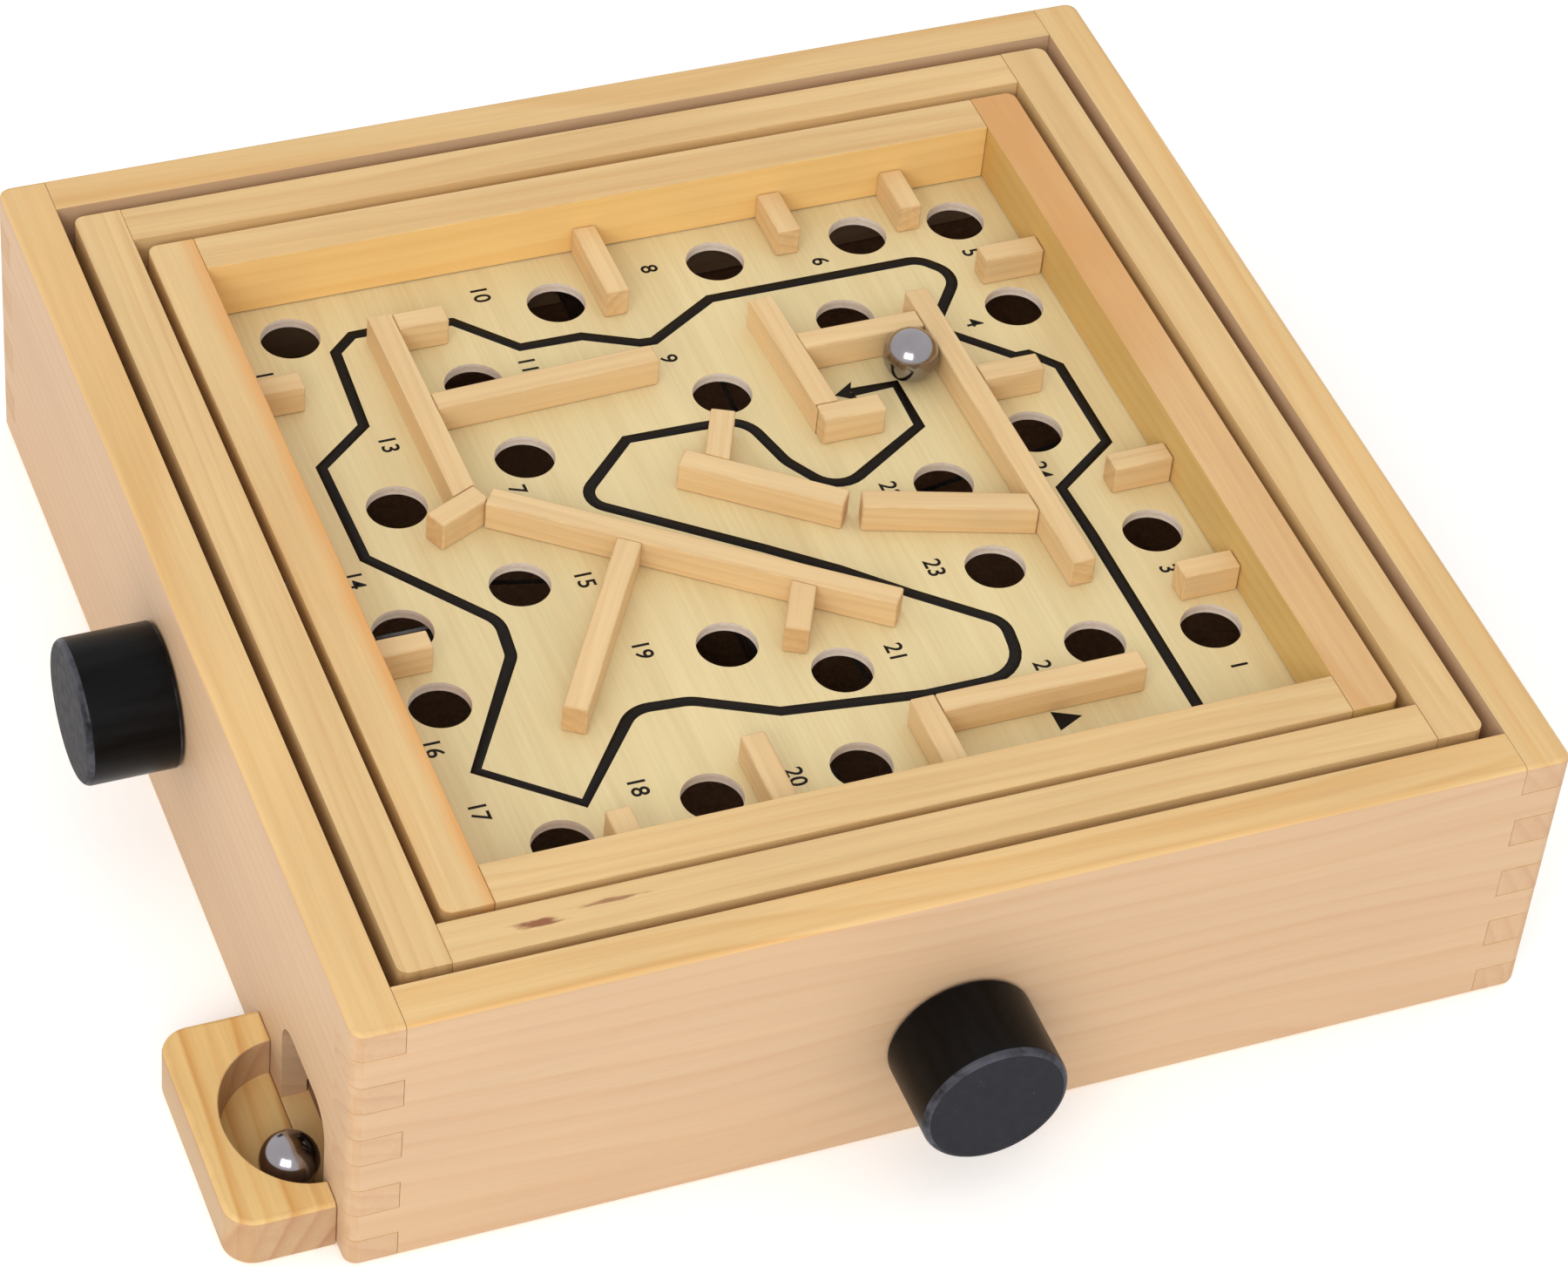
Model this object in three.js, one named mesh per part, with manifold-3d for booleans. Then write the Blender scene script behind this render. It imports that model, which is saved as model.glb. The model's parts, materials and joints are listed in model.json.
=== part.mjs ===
// A wooden tilt maze: a finger-jointed pine box with two nested gimbal frames. The inner frame carries
// the maze board and turns about X, the outer frame carries the inner one and turns about Y. Each frame
// is worked by a cord that is wound round a steel shaft with a knob on its end. A ball that drops through
// the board rolls down the sloping floor, out through the left wall and into the ball tray.
// Millimetres, +Z up. The origin is the centre of the box's underside; the front knob is at -Y.

import * as THREE from 'three';
import Module from 'manifold-3d';
import { mergeVertices } from 'three/addons/utils/BufferGeometryUtils.js';

const wasm = await Module();
wasm.setup();

// ---- Driving dimensions -----------------------------------------------------------------------

const BOX_SIZE = 220;            // outside of the square box
const BOX_HEIGHT = 58;
const WALL = 9;                  // box wall thickness
const FINGERS = 9;               // finger joint bands over the box height
const CORNER_RADIUS = 2.5;       // upright corners of the box
const EDGE_ROUND = 1.2;          // rounding along the box's top and bottom edges
const GLUE_LINE = 0.05;          // gap left at each glued face

const OUTER_GAP = 2.5;           // box wall to outer frame
const INNER_GAP = 2;             // outer frame to inner frame
const RAIL = 9;                  // width of the frame rails
const RAIL_DEPTH = 15;           // height of the frame rails
const OUTER_DROP = 0.6;          // outer frame's top below the box rim
const INNER_DROP = 1.1;          // inner frame's top below the box rim
const FRAME_CORNER = 2;          // radius of the frames' upright corners

const BOARD_DEPTH = 12.4;        // board's top below the inner frame's top
const BOARD_THICKNESS = 2;
const BOARD_TONGUE = 3;          // how far the board reaches into the rails
const BOARD_CLEARANCE = 0.2;     // round the board in its rebate
const HOLE_CLEARANCE = 0.7;      // a hole is this much wider than the ball
const HOLE_SEGMENTS = 24;
const BAR_WIDTH = 4.6;
const BAR_HEIGHT = 6;
const BAR_GAP = 0.15;            // where a bar butts against another bar or a rail

const BALL_DIAMETER = 10.5;
const BALL_CLEARANCE = 0.1;
const BALL_TO_BAR = 0.2;         // play ball to the slanting long bar
const BALL_TO_FINISH = 1;        // play ball to the finish bar

const PIVOT_BELOW_RIM = 8;       // both tilt axes lie this far below the box rim
const PIN_DIAMETER = 3;
const PIN_FIT = 0.05;            // radial gap where a pin is held
const PIN_RUNNING = 0.1;         // radial gap where a rail turns on a pin
const PIN_BITE = 6;              // how far a pin enters each piece

const SHAFT_DIAMETER = 5;
const SHAFT_RUNNING = 0.1;       // radial gap in the wall bores
const SHAFT_BITE = 5;            // depth of the blind bore in the far wall
const SIDE_SHAFT_BELOW_BOARD = 9.5;
const SHAFT_SPACING = 9;         // side shaft's axis above the front shaft's axis
const SIDE_SHAFT_Y = -2.8;       // the shafts pass a little off the middle of the box
const FRONT_SHAFT_X = -1.6;
const KNOB_DIAMETER = 26.5;
const KNOB_LENGTH = 17;
const KNOB_EDGE = 1.4;           // rounding at the knob's outer edge
const KNOB_GAP = 0.5;            // knob to wall
const KNOB_BORE_DEPTH = 12;
const KNOB_FIT = 0.1;
const KNOB_END_GAP = 0.3;        // between the shaft's end and the bottom of the knob's bore
const COLLAR_DIAMETER = 7;       // the collar is turned in one with the shaft
const COLLAR_WIDTH = 4;
const COLLAR_GAP = 0.5;          // collar to wall

const CORD_DIAMETER = 0.8;
const CORD_TURNS = 2;
const CORD_PITCH = 1.3;          // along the shaft, from turn to turn
const CORD_LIFT = 0.3;           // cord's surface to the shaft's surface
const CORD_OFFSET = 11.5;        // from the other shaft's axis to the winding, between the holes
const CORD_HOLE_DEPTH = 5;       // how far the cord's plain end goes up into its rail
const CORD_HOLE_CLEARANCE = 0.4;
const HOOK_WIRE = 1.4;
const HOOK_DROP = 3.4;           // rail's underside to the hook's eye centre
const HOOK_EYE_RADIUS = 1.7;
const HOOK_BITE = 5;
const SPRING_LENGTH = 15;
const SPRING_RADIUS = 1.5;       // mean radius of the coils
const SPRING_WIRE = 0.5;
const SPRING_TURNS = 8;

const BASE_THICKNESS = 2;
const FLOOR_THICKNESS = 2.5;
const FLOOR_LOW = 5;             // floor's top at the front left inside corner
const FLOOR_SLOPE_X = 0.025;
const FLOOR_SLOPE_Y = 0.018;
const FLOOR_TONGUE = 4;          // how far the floor reaches into the walls
const FLOOR_CLEARANCE = 0.3;

const TRAY_RIM = 5.2;            // outer wall of the tray beyond the pocket
const TRAY_LENGTH = 45.5;
const TRAY_HEIGHT = 11;
const TRAY_FLOOR = 2.5;
const TRAY_FRONT_INSET = 5;      // tray's front face behind the box's front face
const TRAY_CORNER = 5.5;
const POCKET_ROOM = 2.8;         // how much further the pocket reaches out than one ball
const POCKET_HALF_LENGTH = 16.2;
const POCKET_SEGMENTS = 44;
const POCKET_BACK_MARGIN = 7.6;  // tray's back face to the pocket
const SPARE_BALL_OUT = 4;        // spare ball's centre outwards from the left wall
const SPARE_BALL_INSET = 7.6;    // and in front of the pocket's middle
const OUTLET_FRONT = 4;          // front wall's inner face to the outlet
const OUTLET_WIDTH = 24;
const OUTLET_TOP = 23.8;
const OUTLET_CORNER = 6;

// ---- Sizes worked out from them ---------------------------------------------------------------

const half = BOX_SIZE / 2;
const inside = half - WALL;
const outerHalf = inside - OUTER_GAP;
const outerInside = outerHalf - RAIL;
const innerHalf = outerInside - INNER_GAP;
const playHalf = innerHalf - RAIL;
const outerTop = BOX_HEIGHT - OUTER_DROP;
const innerTop = BOX_HEIGHT - INNER_DROP;
const outerBottom = outerTop - RAIL_DEPTH;
const innerBottom = innerTop - RAIL_DEPTH;
const boardTop = innerTop - BOARD_DEPTH;
const boardBottom = boardTop - BOARD_THICKNESS;
const boardHalf = playHalf + BOARD_TONGUE;
const pivotZ = BOX_HEIGHT - PIVOT_BELOW_RIM;
const sideShaftZ = boardBottom - SIDE_SHAFT_BELOW_BOARD;
const frontShaftZ = sideShaftZ - SHAFT_SPACING;
const shaftRadius = SHAFT_DIAMETER / 2;
const ballRadius = BALL_DIAMETER / 2;
const holeRadius = (BALL_DIAMETER + HOLE_CLEARANCE) / 2;
const pocketReach = BALL_DIAMETER + POCKET_ROOM;
const trayReach = pocketReach + TRAY_RIM;
const trayFront = -half + TRAY_FRONT_INSET;
const trayBack = trayFront + TRAY_LENGTH;
const pocketCentreY = trayBack - POCKET_BACK_MARGIN - POCKET_HALF_LENGTH;

// The maze is laid out on a play field 157 mm square and follows the size of the real one.
const LAYOUT_FIELD = 157;
const layoutScale = 2 * playHalf / LAYOUT_FIELD;
const place = ([x, y]) => [x * layoutScale, y * layoutScale];

// ---- Materials --------------------------------------------------------------------------------

const finish = (color, roughness, metalness = 0) =>
  new THREE.MeshStandardMaterial({ color, roughness, metalness });

const PINE = finish(0xe2c08c, 0.6);
const PINE_WARM = finish(0xdca55c, 0.6);
const BOARD_PLY = finish(0xe3d09e, 0.55);
const BAR_WOOD = finish(0xe6c794, 0.6);
const HARDBOARD = finish(0x8a6544, 0.8);
const BLACK_PAINT = finish(0x17171a, 0.35);
const STEEL = finish(0xb8bcc2, 0.3, 1);
const BALL_STEEL = finish(0xd6dae0, 0.08, 1);
const CORD_NYLON = finish(0x2a2622, 0.8);

// ---- Helpers ----------------------------------------------------------------------------------

const model = new THREE.Group();

function weld(geometry) {
  const bare = geometry.index ? geometry.clone() : geometry;
  bare.deleteAttribute('normal');
  bare.deleteAttribute('uv');
  return mergeVertices(bare, 1e-4);
}

function volume(geometry) {
  const p = geometry.attributes.position;
  const a = new THREE.Vector3();
  const b = new THREE.Vector3();
  const c = new THREE.Vector3();
  let sum = 0;
  for (let i = 0; i < geometry.index.count; i += 3) {
    a.fromBufferAttribute(p, geometry.index.getX(i));
    b.fromBufferAttribute(p, geometry.index.getX(i + 1));
    c.fromBufferAttribute(p, geometry.index.getX(i + 2));
    sum += a.dot(b.cross(c)) / 6;
  }
  return sum;
}

// A welded closed mesh whose faces point out and that has no collapsed triangles.
function closed(geometry) {
  const welded = weld(geometry);
  const kept = [];
  for (let i = 0; i < welded.index.count; i += 3) {
    const [a, b, c] = [0, 1, 2].map((k) => welded.index.getX(i + k));
    if (a !== b && b !== c && c !== a) kept.push(a, b, c);
  }
  welded.setIndex(kept);
  if (volume(welded) < 0) {
    for (let i = 0; i < kept.length; i += 3) [kept[i], kept[i + 1]] = [kept[i + 1], kept[i]];
    welded.setIndex(kept);
  }
  return welded;
}

function solid(geometry) {
  const g = closed(geometry);
  return new wasm.Manifold(new wasm.Mesh({
    numProp: 3,
    vertProperties: new Float32Array(g.attributes.position.array),
    triVerts: new Uint32Array(g.index.array),
  }));
}

function fromSolid(body) {
  const mesh = body.getMesh();
  const geometry = new THREE.BufferGeometry();
  geometry.setAttribute('position', new THREE.BufferAttribute(mesh.vertProperties, 3));
  geometry.setIndex(new THREE.BufferAttribute(mesh.triVerts, 1));
  return geometry;
}

const cut = (body, ...tools) => tools.reduce((rest, tool) => rest.subtract(tool), body);

function add(name, geometry, material) {
  const flat = closed(geometry).toNonIndexed();
  flat.computeVertexNormals();
  const mesh = new THREE.Mesh(flat, material);
  mesh.name = name;
  model.add(mesh);
  return mesh;
}

function block(x0, x1, y0, y1, z0, z1) {
  const geometry = new THREE.BoxGeometry(x1 - x0, y1 - y0, z1 - z0);
  geometry.translate((x0 + x1) / 2, (y0 + y1) / 2, (z0 + z1) / 2);
  return geometry;
}

// A rod with its two ends at the given places along the X or the Y axis.
function rod(axis, from, to, across, z, radius, segments = 16) {
  const geometry = new THREE.CylinderGeometry(radius, radius, to - from, segments);
  if (axis === 'x') {
    geometry.rotateZ(Math.PI / 2);
    geometry.translate((from + to) / 2, across, z);
  } else {
    geometry.translate(across, (from + to) / 2, z);
  }
  return geometry;
}

function roundedSquare(size, radius) {
  const s = size - radius;
  const shape = new THREE.Shape();
  shape.moveTo(size, -s);
  shape.lineTo(size, s);
  shape.absarc(s, s, radius, 0, Math.PI / 2);
  shape.lineTo(-s, size);
  shape.absarc(-s, s, radius, Math.PI / 2, Math.PI);
  shape.lineTo(-size, -s);
  shape.absarc(-s, -s, radius, Math.PI, 1.5 * Math.PI);
  shape.lineTo(s, -size);
  shape.absarc(s, -s, radius, 1.5 * Math.PI, 2 * Math.PI);
  return shape;
}

// An upright prism from z0 to z1 whose top and bottom edges are rounded off.
function prism(shape, z0, z1, round = 0, curveSegments = 4) {
  const geometry = new THREE.ExtrudeGeometry(shape, {
    depth: z1 - z0 - 2 * round,
    bevelEnabled: round > 0,
    bevelThickness: round,
    bevelSize: round,
    bevelOffset: -round,
    bevelSegments: 3,
    curveSegments,
  });
  geometry.translate(0, 0, z0 + round);
  return geometry;
}

// A route that passes through its points one step at a time, so close points make short steps.
class Route extends THREE.CatmullRomCurve3 {
  getUtoTmapping(u) {
    return u;
  }
}

function tube(points, radius, sides) {
  const section = new THREE.Shape();
  section.absarc(0, 0, radius, 0, 2 * Math.PI);
  return new THREE.ExtrudeGeometry(section, {
    steps: points.length - 1,
    extrudePath: new Route(points, false, 'centripetal'),
    curveSegments: sides,
  });
}

function lathe(profile, segments) {
  return new THREE.LatheGeometry(profile.map(([r, h]) => new THREE.Vector2(r, h)), segments);
}

// ---- Box --------------------------------------------------------------------------------------

const bandHeight = BOX_HEIGHT / FINGERS;
const boxEnvelope = solid(prism(roundedSquare(half, CORNER_RADIUS), 0, BOX_HEIGHT, EDGE_ROUND));

// The odd bands belong to the front and back walls, the even ones to the side walls.
function fingerBands(x0, x1, y0, y1, slack) {
  const bands = [];
  for (let k = 1; k < FINGERS; k += 2) {
    bands.push(solid(block(x0, x1, y0, y1, k * bandHeight - slack, (k + 1) * bandHeight + slack)));
  }
  return bands;
}

function floorSlab(grow) {
  const reach = inside + FLOOR_TONGUE + grow;
  const top = FLOOR_LOW + grow;
  const slab = block(-reach, reach, -reach, reach, top - FLOOR_THICKNESS - 2 * grow, top);
  const p = slab.attributes.position;
  for (let i = 0; i < p.count; i += 1) {
    const rise = FLOOR_SLOPE_X * (p.getX(i) + inside) + FLOOR_SLOPE_Y * (p.getY(i) + inside);
    p.setZ(i, p.getZ(i) + rise);
  }
  return slab;
}

const floorGroove = solid(floorSlab(FLOOR_CLEARANCE));
const overshoot = 1;

const boreRadius = shaftRadius + SHAFT_RUNNING;
const sideShaftBore = (from, to) => solid(rod('x', from, to, SIDE_SHAFT_Y, sideShaftZ, boreRadius));
const frontShaftBore = (from, to) => solid(rod('y', from, to, FRONT_SHAFT_X, frontShaftZ, boreRadius));

function outlet() {
  const front = -inside + OUTLET_FRONT;
  const back = front + OUTLET_WIDTH;
  const spring = OUTLET_TOP - OUTLET_CORNER;
  const shape = new THREE.Shape();
  shape.moveTo(front, TRAY_FLOOR);
  shape.lineTo(back, TRAY_FLOOR);
  shape.lineTo(back, spring);
  shape.absarc(back - OUTLET_CORNER, spring, OUTLET_CORNER, 0, Math.PI / 2);
  shape.lineTo(front + OUTLET_CORNER, OUTLET_TOP);
  shape.absarc(front + OUTLET_CORNER, spring, OUTLET_CORNER, Math.PI / 2, Math.PI);
  const geometry = new THREE.ExtrudeGeometry(shape, {
    depth: WALL + 2 * overshoot,
    bevelEnabled: false,
    curveSegments: 5,
  });
  // The outline's first axis becomes Y and its second axis Z.
  const turn = new THREE.Matrix4().makeBasis(
    new THREE.Vector3(0, 1, 0), new THREE.Vector3(0, 0, 1), new THREE.Vector3(1, 0, 0));
  geometry.applyMatrix4(turn);
  geometry.translate(-half - overshoot, 0, 0);
  return geometry;
}

for (const [name, side] of [['wall_left', -1], ['wall_right', 1]]) {
  const [x0, x1] = side < 0 ? [-half, -inside] : [inside, half];
  let wall = solid(block(x0, x1, -half, half, 0, BOX_HEIGHT));
  for (const end of [-1, 1]) {
    const [y0, y1] = end < 0 ? [-half - 1, -inside + GLUE_LINE] : [inside - GLUE_LINE, half + 1];
    wall = cut(wall, ...fingerBands(x0 - 1, x1 + 1, y0, y1, GLUE_LINE));
  }
  wall = cut(wall.intersect(boxEnvelope), floorGroove);
  wall = side < 0
    ? cut(wall, sideShaftBore(x0 - 1, x1 + 1), solid(outlet()))
    : cut(wall, sideShaftBore(x0 - 1, x0 + SHAFT_BITE + 0.5));
  add(name, fromSolid(wall), PINE);
}

const pinBore = (axis, from, to, gap) => solid(rod(axis, from, to, 0, pivotZ, PIN_DIAMETER / 2 + gap));

for (const [name, side] of [['wall_front', -1], ['wall_back', 1]]) {
  const [y0, y1] = side < 0 ? [-half, -inside] : [inside, half];
  let wall = solid(block(-inside + GLUE_LINE, inside - GLUE_LINE, y0, y1, 0, BOX_HEIGHT));
  for (const finger of fingerBands(-half, half, y0, y1, -GLUE_LINE)) wall = wall.add(finger);
  wall = cut(wall.intersect(boxEnvelope), floorGroove);
  const face = side * inside;
  const [p0, p1] = [face - side, face + side * (PIN_BITE + 0.5)].sort((a, b) => a - b);
  const bite = side < 0 ? [y0 - 1, y1 + 1] : [y0 - 1, y0 + SHAFT_BITE + 0.5];
  wall = cut(wall, pinBore('y', p0, p1, PIN_FIT), frontShaftBore(...bite));
  add(name, fromSolid(wall), PINE);
}

add('return_floor', floorSlab(0), HARDBOARD);

const baseHalf = inside - GLUE_LINE;
add('base_panel', block(-baseHalf, baseHalf, -baseHalf, baseHalf, 0, BASE_THICKNESS), HARDBOARD);

function ballTray() {
  const [xOut, xWall] = [-half - trayReach, -half - GLUE_LINE];
  const r = TRAY_CORNER;
  const outline = new THREE.Shape();
  outline.moveTo(xWall + WALL, trayFront);
  outline.lineTo(xWall + WALL, trayBack);
  outline.lineTo(xOut + r, trayBack);
  outline.absarc(xOut + r, trayBack - r, r, Math.PI / 2, Math.PI);
  outline.lineTo(xOut, trayFront + r);
  outline.absarc(xOut + r, trayFront + r, r, Math.PI, 1.5 * Math.PI);
  const pocket = new THREE.Shape();
  pocket.absellipse(-half, pocketCentreY, pocketReach, POCKET_HALF_LENGTH, 0, 2 * Math.PI);
  return cut(
    solid(prism(outline, 0, TRAY_HEIGHT, EDGE_ROUND)),
    solid(block(xWall, 0, -half - 1, half, -1, TRAY_HEIGHT + 1)),
    solid(prism(pocket, TRAY_FLOOR, TRAY_HEIGHT + 1, 0, POCKET_SEGMENTS)),
  );
}

add('ball_tray', fromSolid(ballTray()), PINE_WARM);

// ---- Frames -----------------------------------------------------------------------------------

const railSides = [['left', 'x', -1], ['right', 'x', 1], ['front', 'y', -1], ['back', 'y', 1]];

// The left and right rails run the full depth, the front and back rails stand between them.
function frameRail(axis, side, size, z0, z1) {
  const envelope = solid(prism(roundedSquare(size, FRAME_CORNER), z0, z1));
  const [a0, a1] = side < 0 ? [-size, -size + RAIL] : [size - RAIL, size];
  const between = size - RAIL - GLUE_LINE;
  const bar = axis === 'x'
    ? block(a0, a1, -size, size, z0, z1)
    : block(-between, between, a0, a1, z0, z1);
  return solid(bar).intersect(envelope);
}

const cordBoreRadius = CORD_DIAMETER / 2 + CORD_HOLE_CLEARANCE;
const hookBoreRadius = HOOK_WIRE / 2 + PIN_FIT;

function uprightBore(x, y, z0, z1, radius) {
  const geometry = new THREE.CylinderGeometry(radius, radius, z1 - z0, 12);
  geometry.rotateX(Math.PI / 2);
  geometry.translate(x, y, (z0 + z1) / 2);
  return solid(geometry);
}

// Each cord's two ends are fixed under the middle of the solid part of two opposite rails.
const outerAnchor = outerHalf - RAIL / 2;
const innerAnchor = innerHalf - (RAIL - BOARD_TONGUE) / 2;
const windingSpan = CORD_TURNS * CORD_PITCH;
const plainEnd = CORD_OFFSET - windingSpan / 2;
const sprungEnd = CORD_OFFSET + windingSpan / 2;

for (const [name, axis, side] of railSides) {
  let rail = frameRail(axis, side, outerHalf, outerBottom, outerTop);
  const faces = [side * (outerHalf + 1), side * (outerInside - 1)].sort((a, b) => a - b);
  if (axis === 'x') {
    const inFace = side * outerInside;
    const ends = [inFace - side, inFace + side * (PIN_BITE + 0.5)].sort((a, b) => a - b);
    const [along, radius, depth] = side < 0
      ? [plainEnd, cordBoreRadius, CORD_HOLE_DEPTH] : [sprungEnd, hookBoreRadius, HOOK_BITE];
    rail = cut(
      rail,
      pinBore('x', ...ends, PIN_FIT),
      uprightBore(side * outerAnchor, along, outerBottom - 1, outerBottom + depth + 0.5, radius),
    );
  } else {
    rail = cut(rail, pinBore('y', ...faces, PIN_RUNNING));
  }
  add(`outer_rail_${name}`, fromSolid(rail), PINE);
}

const rebateHalf = boardHalf + BOARD_CLEARANCE;
const rebateTop = boardTop + BOARD_CLEARANCE;
const rebate = solid(
  block(-rebateHalf, rebateHalf, -rebateHalf, rebateHalf, innerBottom - 1, rebateTop));

for (const [name, axis, side] of railSides) {
  let rail = cut(frameRail(axis, side, innerHalf, innerBottom, innerTop), rebate);
  if (axis === 'x') {
    const outFace = side * innerHalf;
    const ends = [outFace + side, outFace - side * (PIN_BITE + 0.5)].sort((a, c) => a - c);
    rail = cut(rail, pinBore('x', ...ends, PIN_RUNNING));
  } else {
    const [along, radius, depth] = side < 0
      ? [plainEnd, cordBoreRadius, CORD_HOLE_DEPTH] : [sprungEnd, hookBoreRadius, HOOK_BITE];
    rail = cut(
      rail,
      uprightBore(along, side * innerAnchor, innerBottom - 1, innerBottom + depth + 0.5, radius),
    );
  }
  add(`inner_rail_${name}`, fromSolid(rail), axis === 'x' ? PINE_WARM : PINE);
}

// ---- Board ------------------------------------------------------------------------------------

// Hole centres on the layout field, from the back row to the front row.
const HOLES = [
  [-65.2, 69.1], [-14.1, 65.4], [19.1, 68.6], [48.4, 68.4], [68.4, 67.4],
  [-36.3, 47.8], [37.1, 46.1], [69.7, 40.9], [7.2, 32.7], [-33.8, 26.2], [-60.3, 19.9],
  [59.2, 6.9], [37.8, -1.6], [-45.5, -5.3], [-69.2, -10.9],
  [-68.6, -30], [-15.3, -30], [38.4, -24.8], [70, -24],
  [2.1, -41.7], [48.1, -48], [70, -50], [-59, -67.3], [-30.8, -64.2], [-3.3, -64.5],
];

function board() {
  const outline = new THREE.Shape();
  outline.moveTo(-boardHalf, -boardHalf);
  outline.lineTo(boardHalf, -boardHalf);
  outline.lineTo(boardHalf, boardHalf);
  outline.lineTo(-boardHalf, boardHalf);
  for (const hole of HOLES) {
    const [x, y] = place(hole);
    const path = new THREE.Path();
    path.absarc(x, y, holeRadius, 0, 2 * Math.PI, true);
    outline.holes.push(path);
  }
  return prism(outline, boardBottom, boardTop, 0, HOLE_SEGMENTS);
}

add('maze_board', board(), BOARD_PLY);

// Bars as centrelines on the layout field. A bar that runs into another is trimmed back to its face,
// and a stub starts in a rail. `butts` names the bars it stops against.
const edge = LAYOUT_FIELD / 2 + BAR_WIDTH;
const BARS = [
  { name: 'back_stub_left', from: [-4.4, edge], to: [-4.4, 58.7] },
  { name: 'back_stub_middle', from: [33.2, edge], to: [33.2, 66.7] },
  { name: 'back_stub_right', from: [58.4, edge], to: [58.4, 67] },
  { name: 'right_stub_back', from: [edge, 50.5], to: [66.2, 50.5] },
  { name: 'right_stub_middle', from: [edge, -10.6], to: [66.7, -10.6] },
  { name: 'right_stub_front', from: [edge, -40.4], to: [67.3, -40.4] },
  { name: 'left_stub_back', from: [-edge, 51.2], to: [-68.5, 51.2] },
  { name: 'left_stub_front', from: [-edge, -19.6], to: [-67.2, -19.6] },
  { name: 'front_stub_left', from: [-49.6, -edge], to: [-49.6, -67.3] },
  { name: 'front_stub_middle', from: [-21.3, -edge], to: [-21.3, -57.2] },
  { name: 'front_stub_right', from: [10.3, -edge], to: [10.3, -57.2] },
  { name: 'start_bar', from: [10.3, -59.5], to: [51.6, -59.5], butts: ['front_stub_right'] },
  { name: 'right_long', from: [50.1, 44.2], to: [51.6, -33.6] },
  { name: 'right_spur', from: [50.6, 18.9], to: [65.1, 18.9], butts: ['right_long'] },
  { name: 'finish_front', from: [20, 16.5], to: [32.3, 16.5] },
  { name: 'finish_left', from: [20.6, 49.7], to: [22.2, 16.5], butts: ['finish_front'] },
  { name: 'finish_back', from: [21.2, 36.4], to: [50.2, 36.4], butts: ['finish_left', 'right_long'] },
  { name: 'centre_diagonal', from: [-8.8, 12.4], to: [16.3, -6.2] },
  { name: 'centre_spur', from: [3.1, 22.4], to: [-3.1, 9.3], butts: ['centre_diagonal'] },
  { name: 'centre_slant', from: [18.9, -7.1], to: [51, -17.3], butts: ['right_long'] },
  { name: 'long_diagonal', from: [-45.7, 12.2], to: [16.2, -32.8] },
  { name: 'left_diagonal', from: [-48.6, -43], to: [-24, -3.6], butts: ['long_diagonal'] },
  { name: 'diagonal_spur', from: [-4.6, -35.4], to: [1.6, -23.2], butts: ['long_diagonal'] },
  { name: 'left_foot', from: [-57, 8.8], to: [-46.6, 13.5], butts: ['long_diagonal'] },
  { name: 'left_long', from: [-49.6, 64.3], to: [-49.6, 12.6], butts: ['left_foot'] },
  { name: 'left_top_spur', from: [-49.6, 61.9], to: [-37.4, 61.9], butts: ['left_long'] },
  { name: 'left_cross', from: [-49.6, 38.9], to: [-3.5, 40.6], butts: ['left_long'] },
];

function barBlock({ from, to }, grow) {
  const [x0, y0] = place(from);
  const [x1, y1] = place(to);
  const length = Math.hypot(x1 - x0, y1 - y0);
  const bar = new THREE.BoxGeometry(length + 2 * grow, BAR_WIDTH + 2 * grow, BAR_HEIGHT);
  bar.rotateZ(Math.atan2(y1 - y0, x1 - x0));
  bar.translate((x0 + x1) / 2, (y0 + y1) / 2, boardTop + GLUE_LINE + BAR_HEIGHT / 2);
  return solid(bar);
}

const field = solid(block(-playHalf + BAR_GAP, playHalf - BAR_GAP, -playHalf + BAR_GAP,
  playHalf - BAR_GAP, 0, BOX_HEIGHT));

for (const bar of BARS) {
  const neighbours = (bar.butts ?? []).map((name) => BARS.find((other) => other.name === name));
  const body = cut(
    barBlock(bar, 0).intersect(field),
    ...neighbours.map((neighbour) => barBlock(neighbour, BAR_GAP)),
  );
  add(`bar_${bar.name}`, fromSolid(body), BAR_WOOD);
}

// ---- Balls ------------------------------------------------------------------------------------

function ball(name, x, y, z) {
  const mesh = add(name, new THREE.SphereGeometry(ballRadius, 24, 16), BALL_STEEL);
  mesh.position.set(x, y, z + ballRadius + BALL_CLEARANCE);
}

// The play ball lies in the corner between the long right bar and the finish bar.
const ballSeat = BAR_WIDTH / 2 + ballRadius + BALL_CLEARANCE;
const [cornerX, cornerY] = place([50.39, 36.4]);
ball('play_ball', cornerX - ballSeat - BALL_TO_BAR, cornerY - ballSeat - BALL_TO_FINISH, boardTop);
ball('spare_ball', -half - SPARE_BALL_OUT, pocketCentreY - SPARE_BALL_INSET, TRAY_FLOOR);

// ---- Pivot pins -------------------------------------------------------------------------------

const pinRadius = PIN_DIAMETER / 2;
for (const [name, side] of [['left', -1], ['right', 1]]) {
  const ends = [side * (outerInside + PIN_BITE), side * (innerHalf - PIN_BITE)].sort((a, c) => a - c);
  add(`inner_pin_${name}`, rod('x', ...ends, 0, pivotZ, pinRadius), STEEL);
}
for (const [name, side] of [['front', -1], ['back', 1]]) {
  const ends = [side * (inside + PIN_BITE), side * (outerHalf - PIN_BITE)].sort((a, c) => a - c);
  add(`outer_pin_${name}`, rod('y', ...ends, 0, pivotZ, pinRadius), STEEL);
}

// ---- Shafts, knobs and collars ----------------------------------------------------------------

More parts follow.
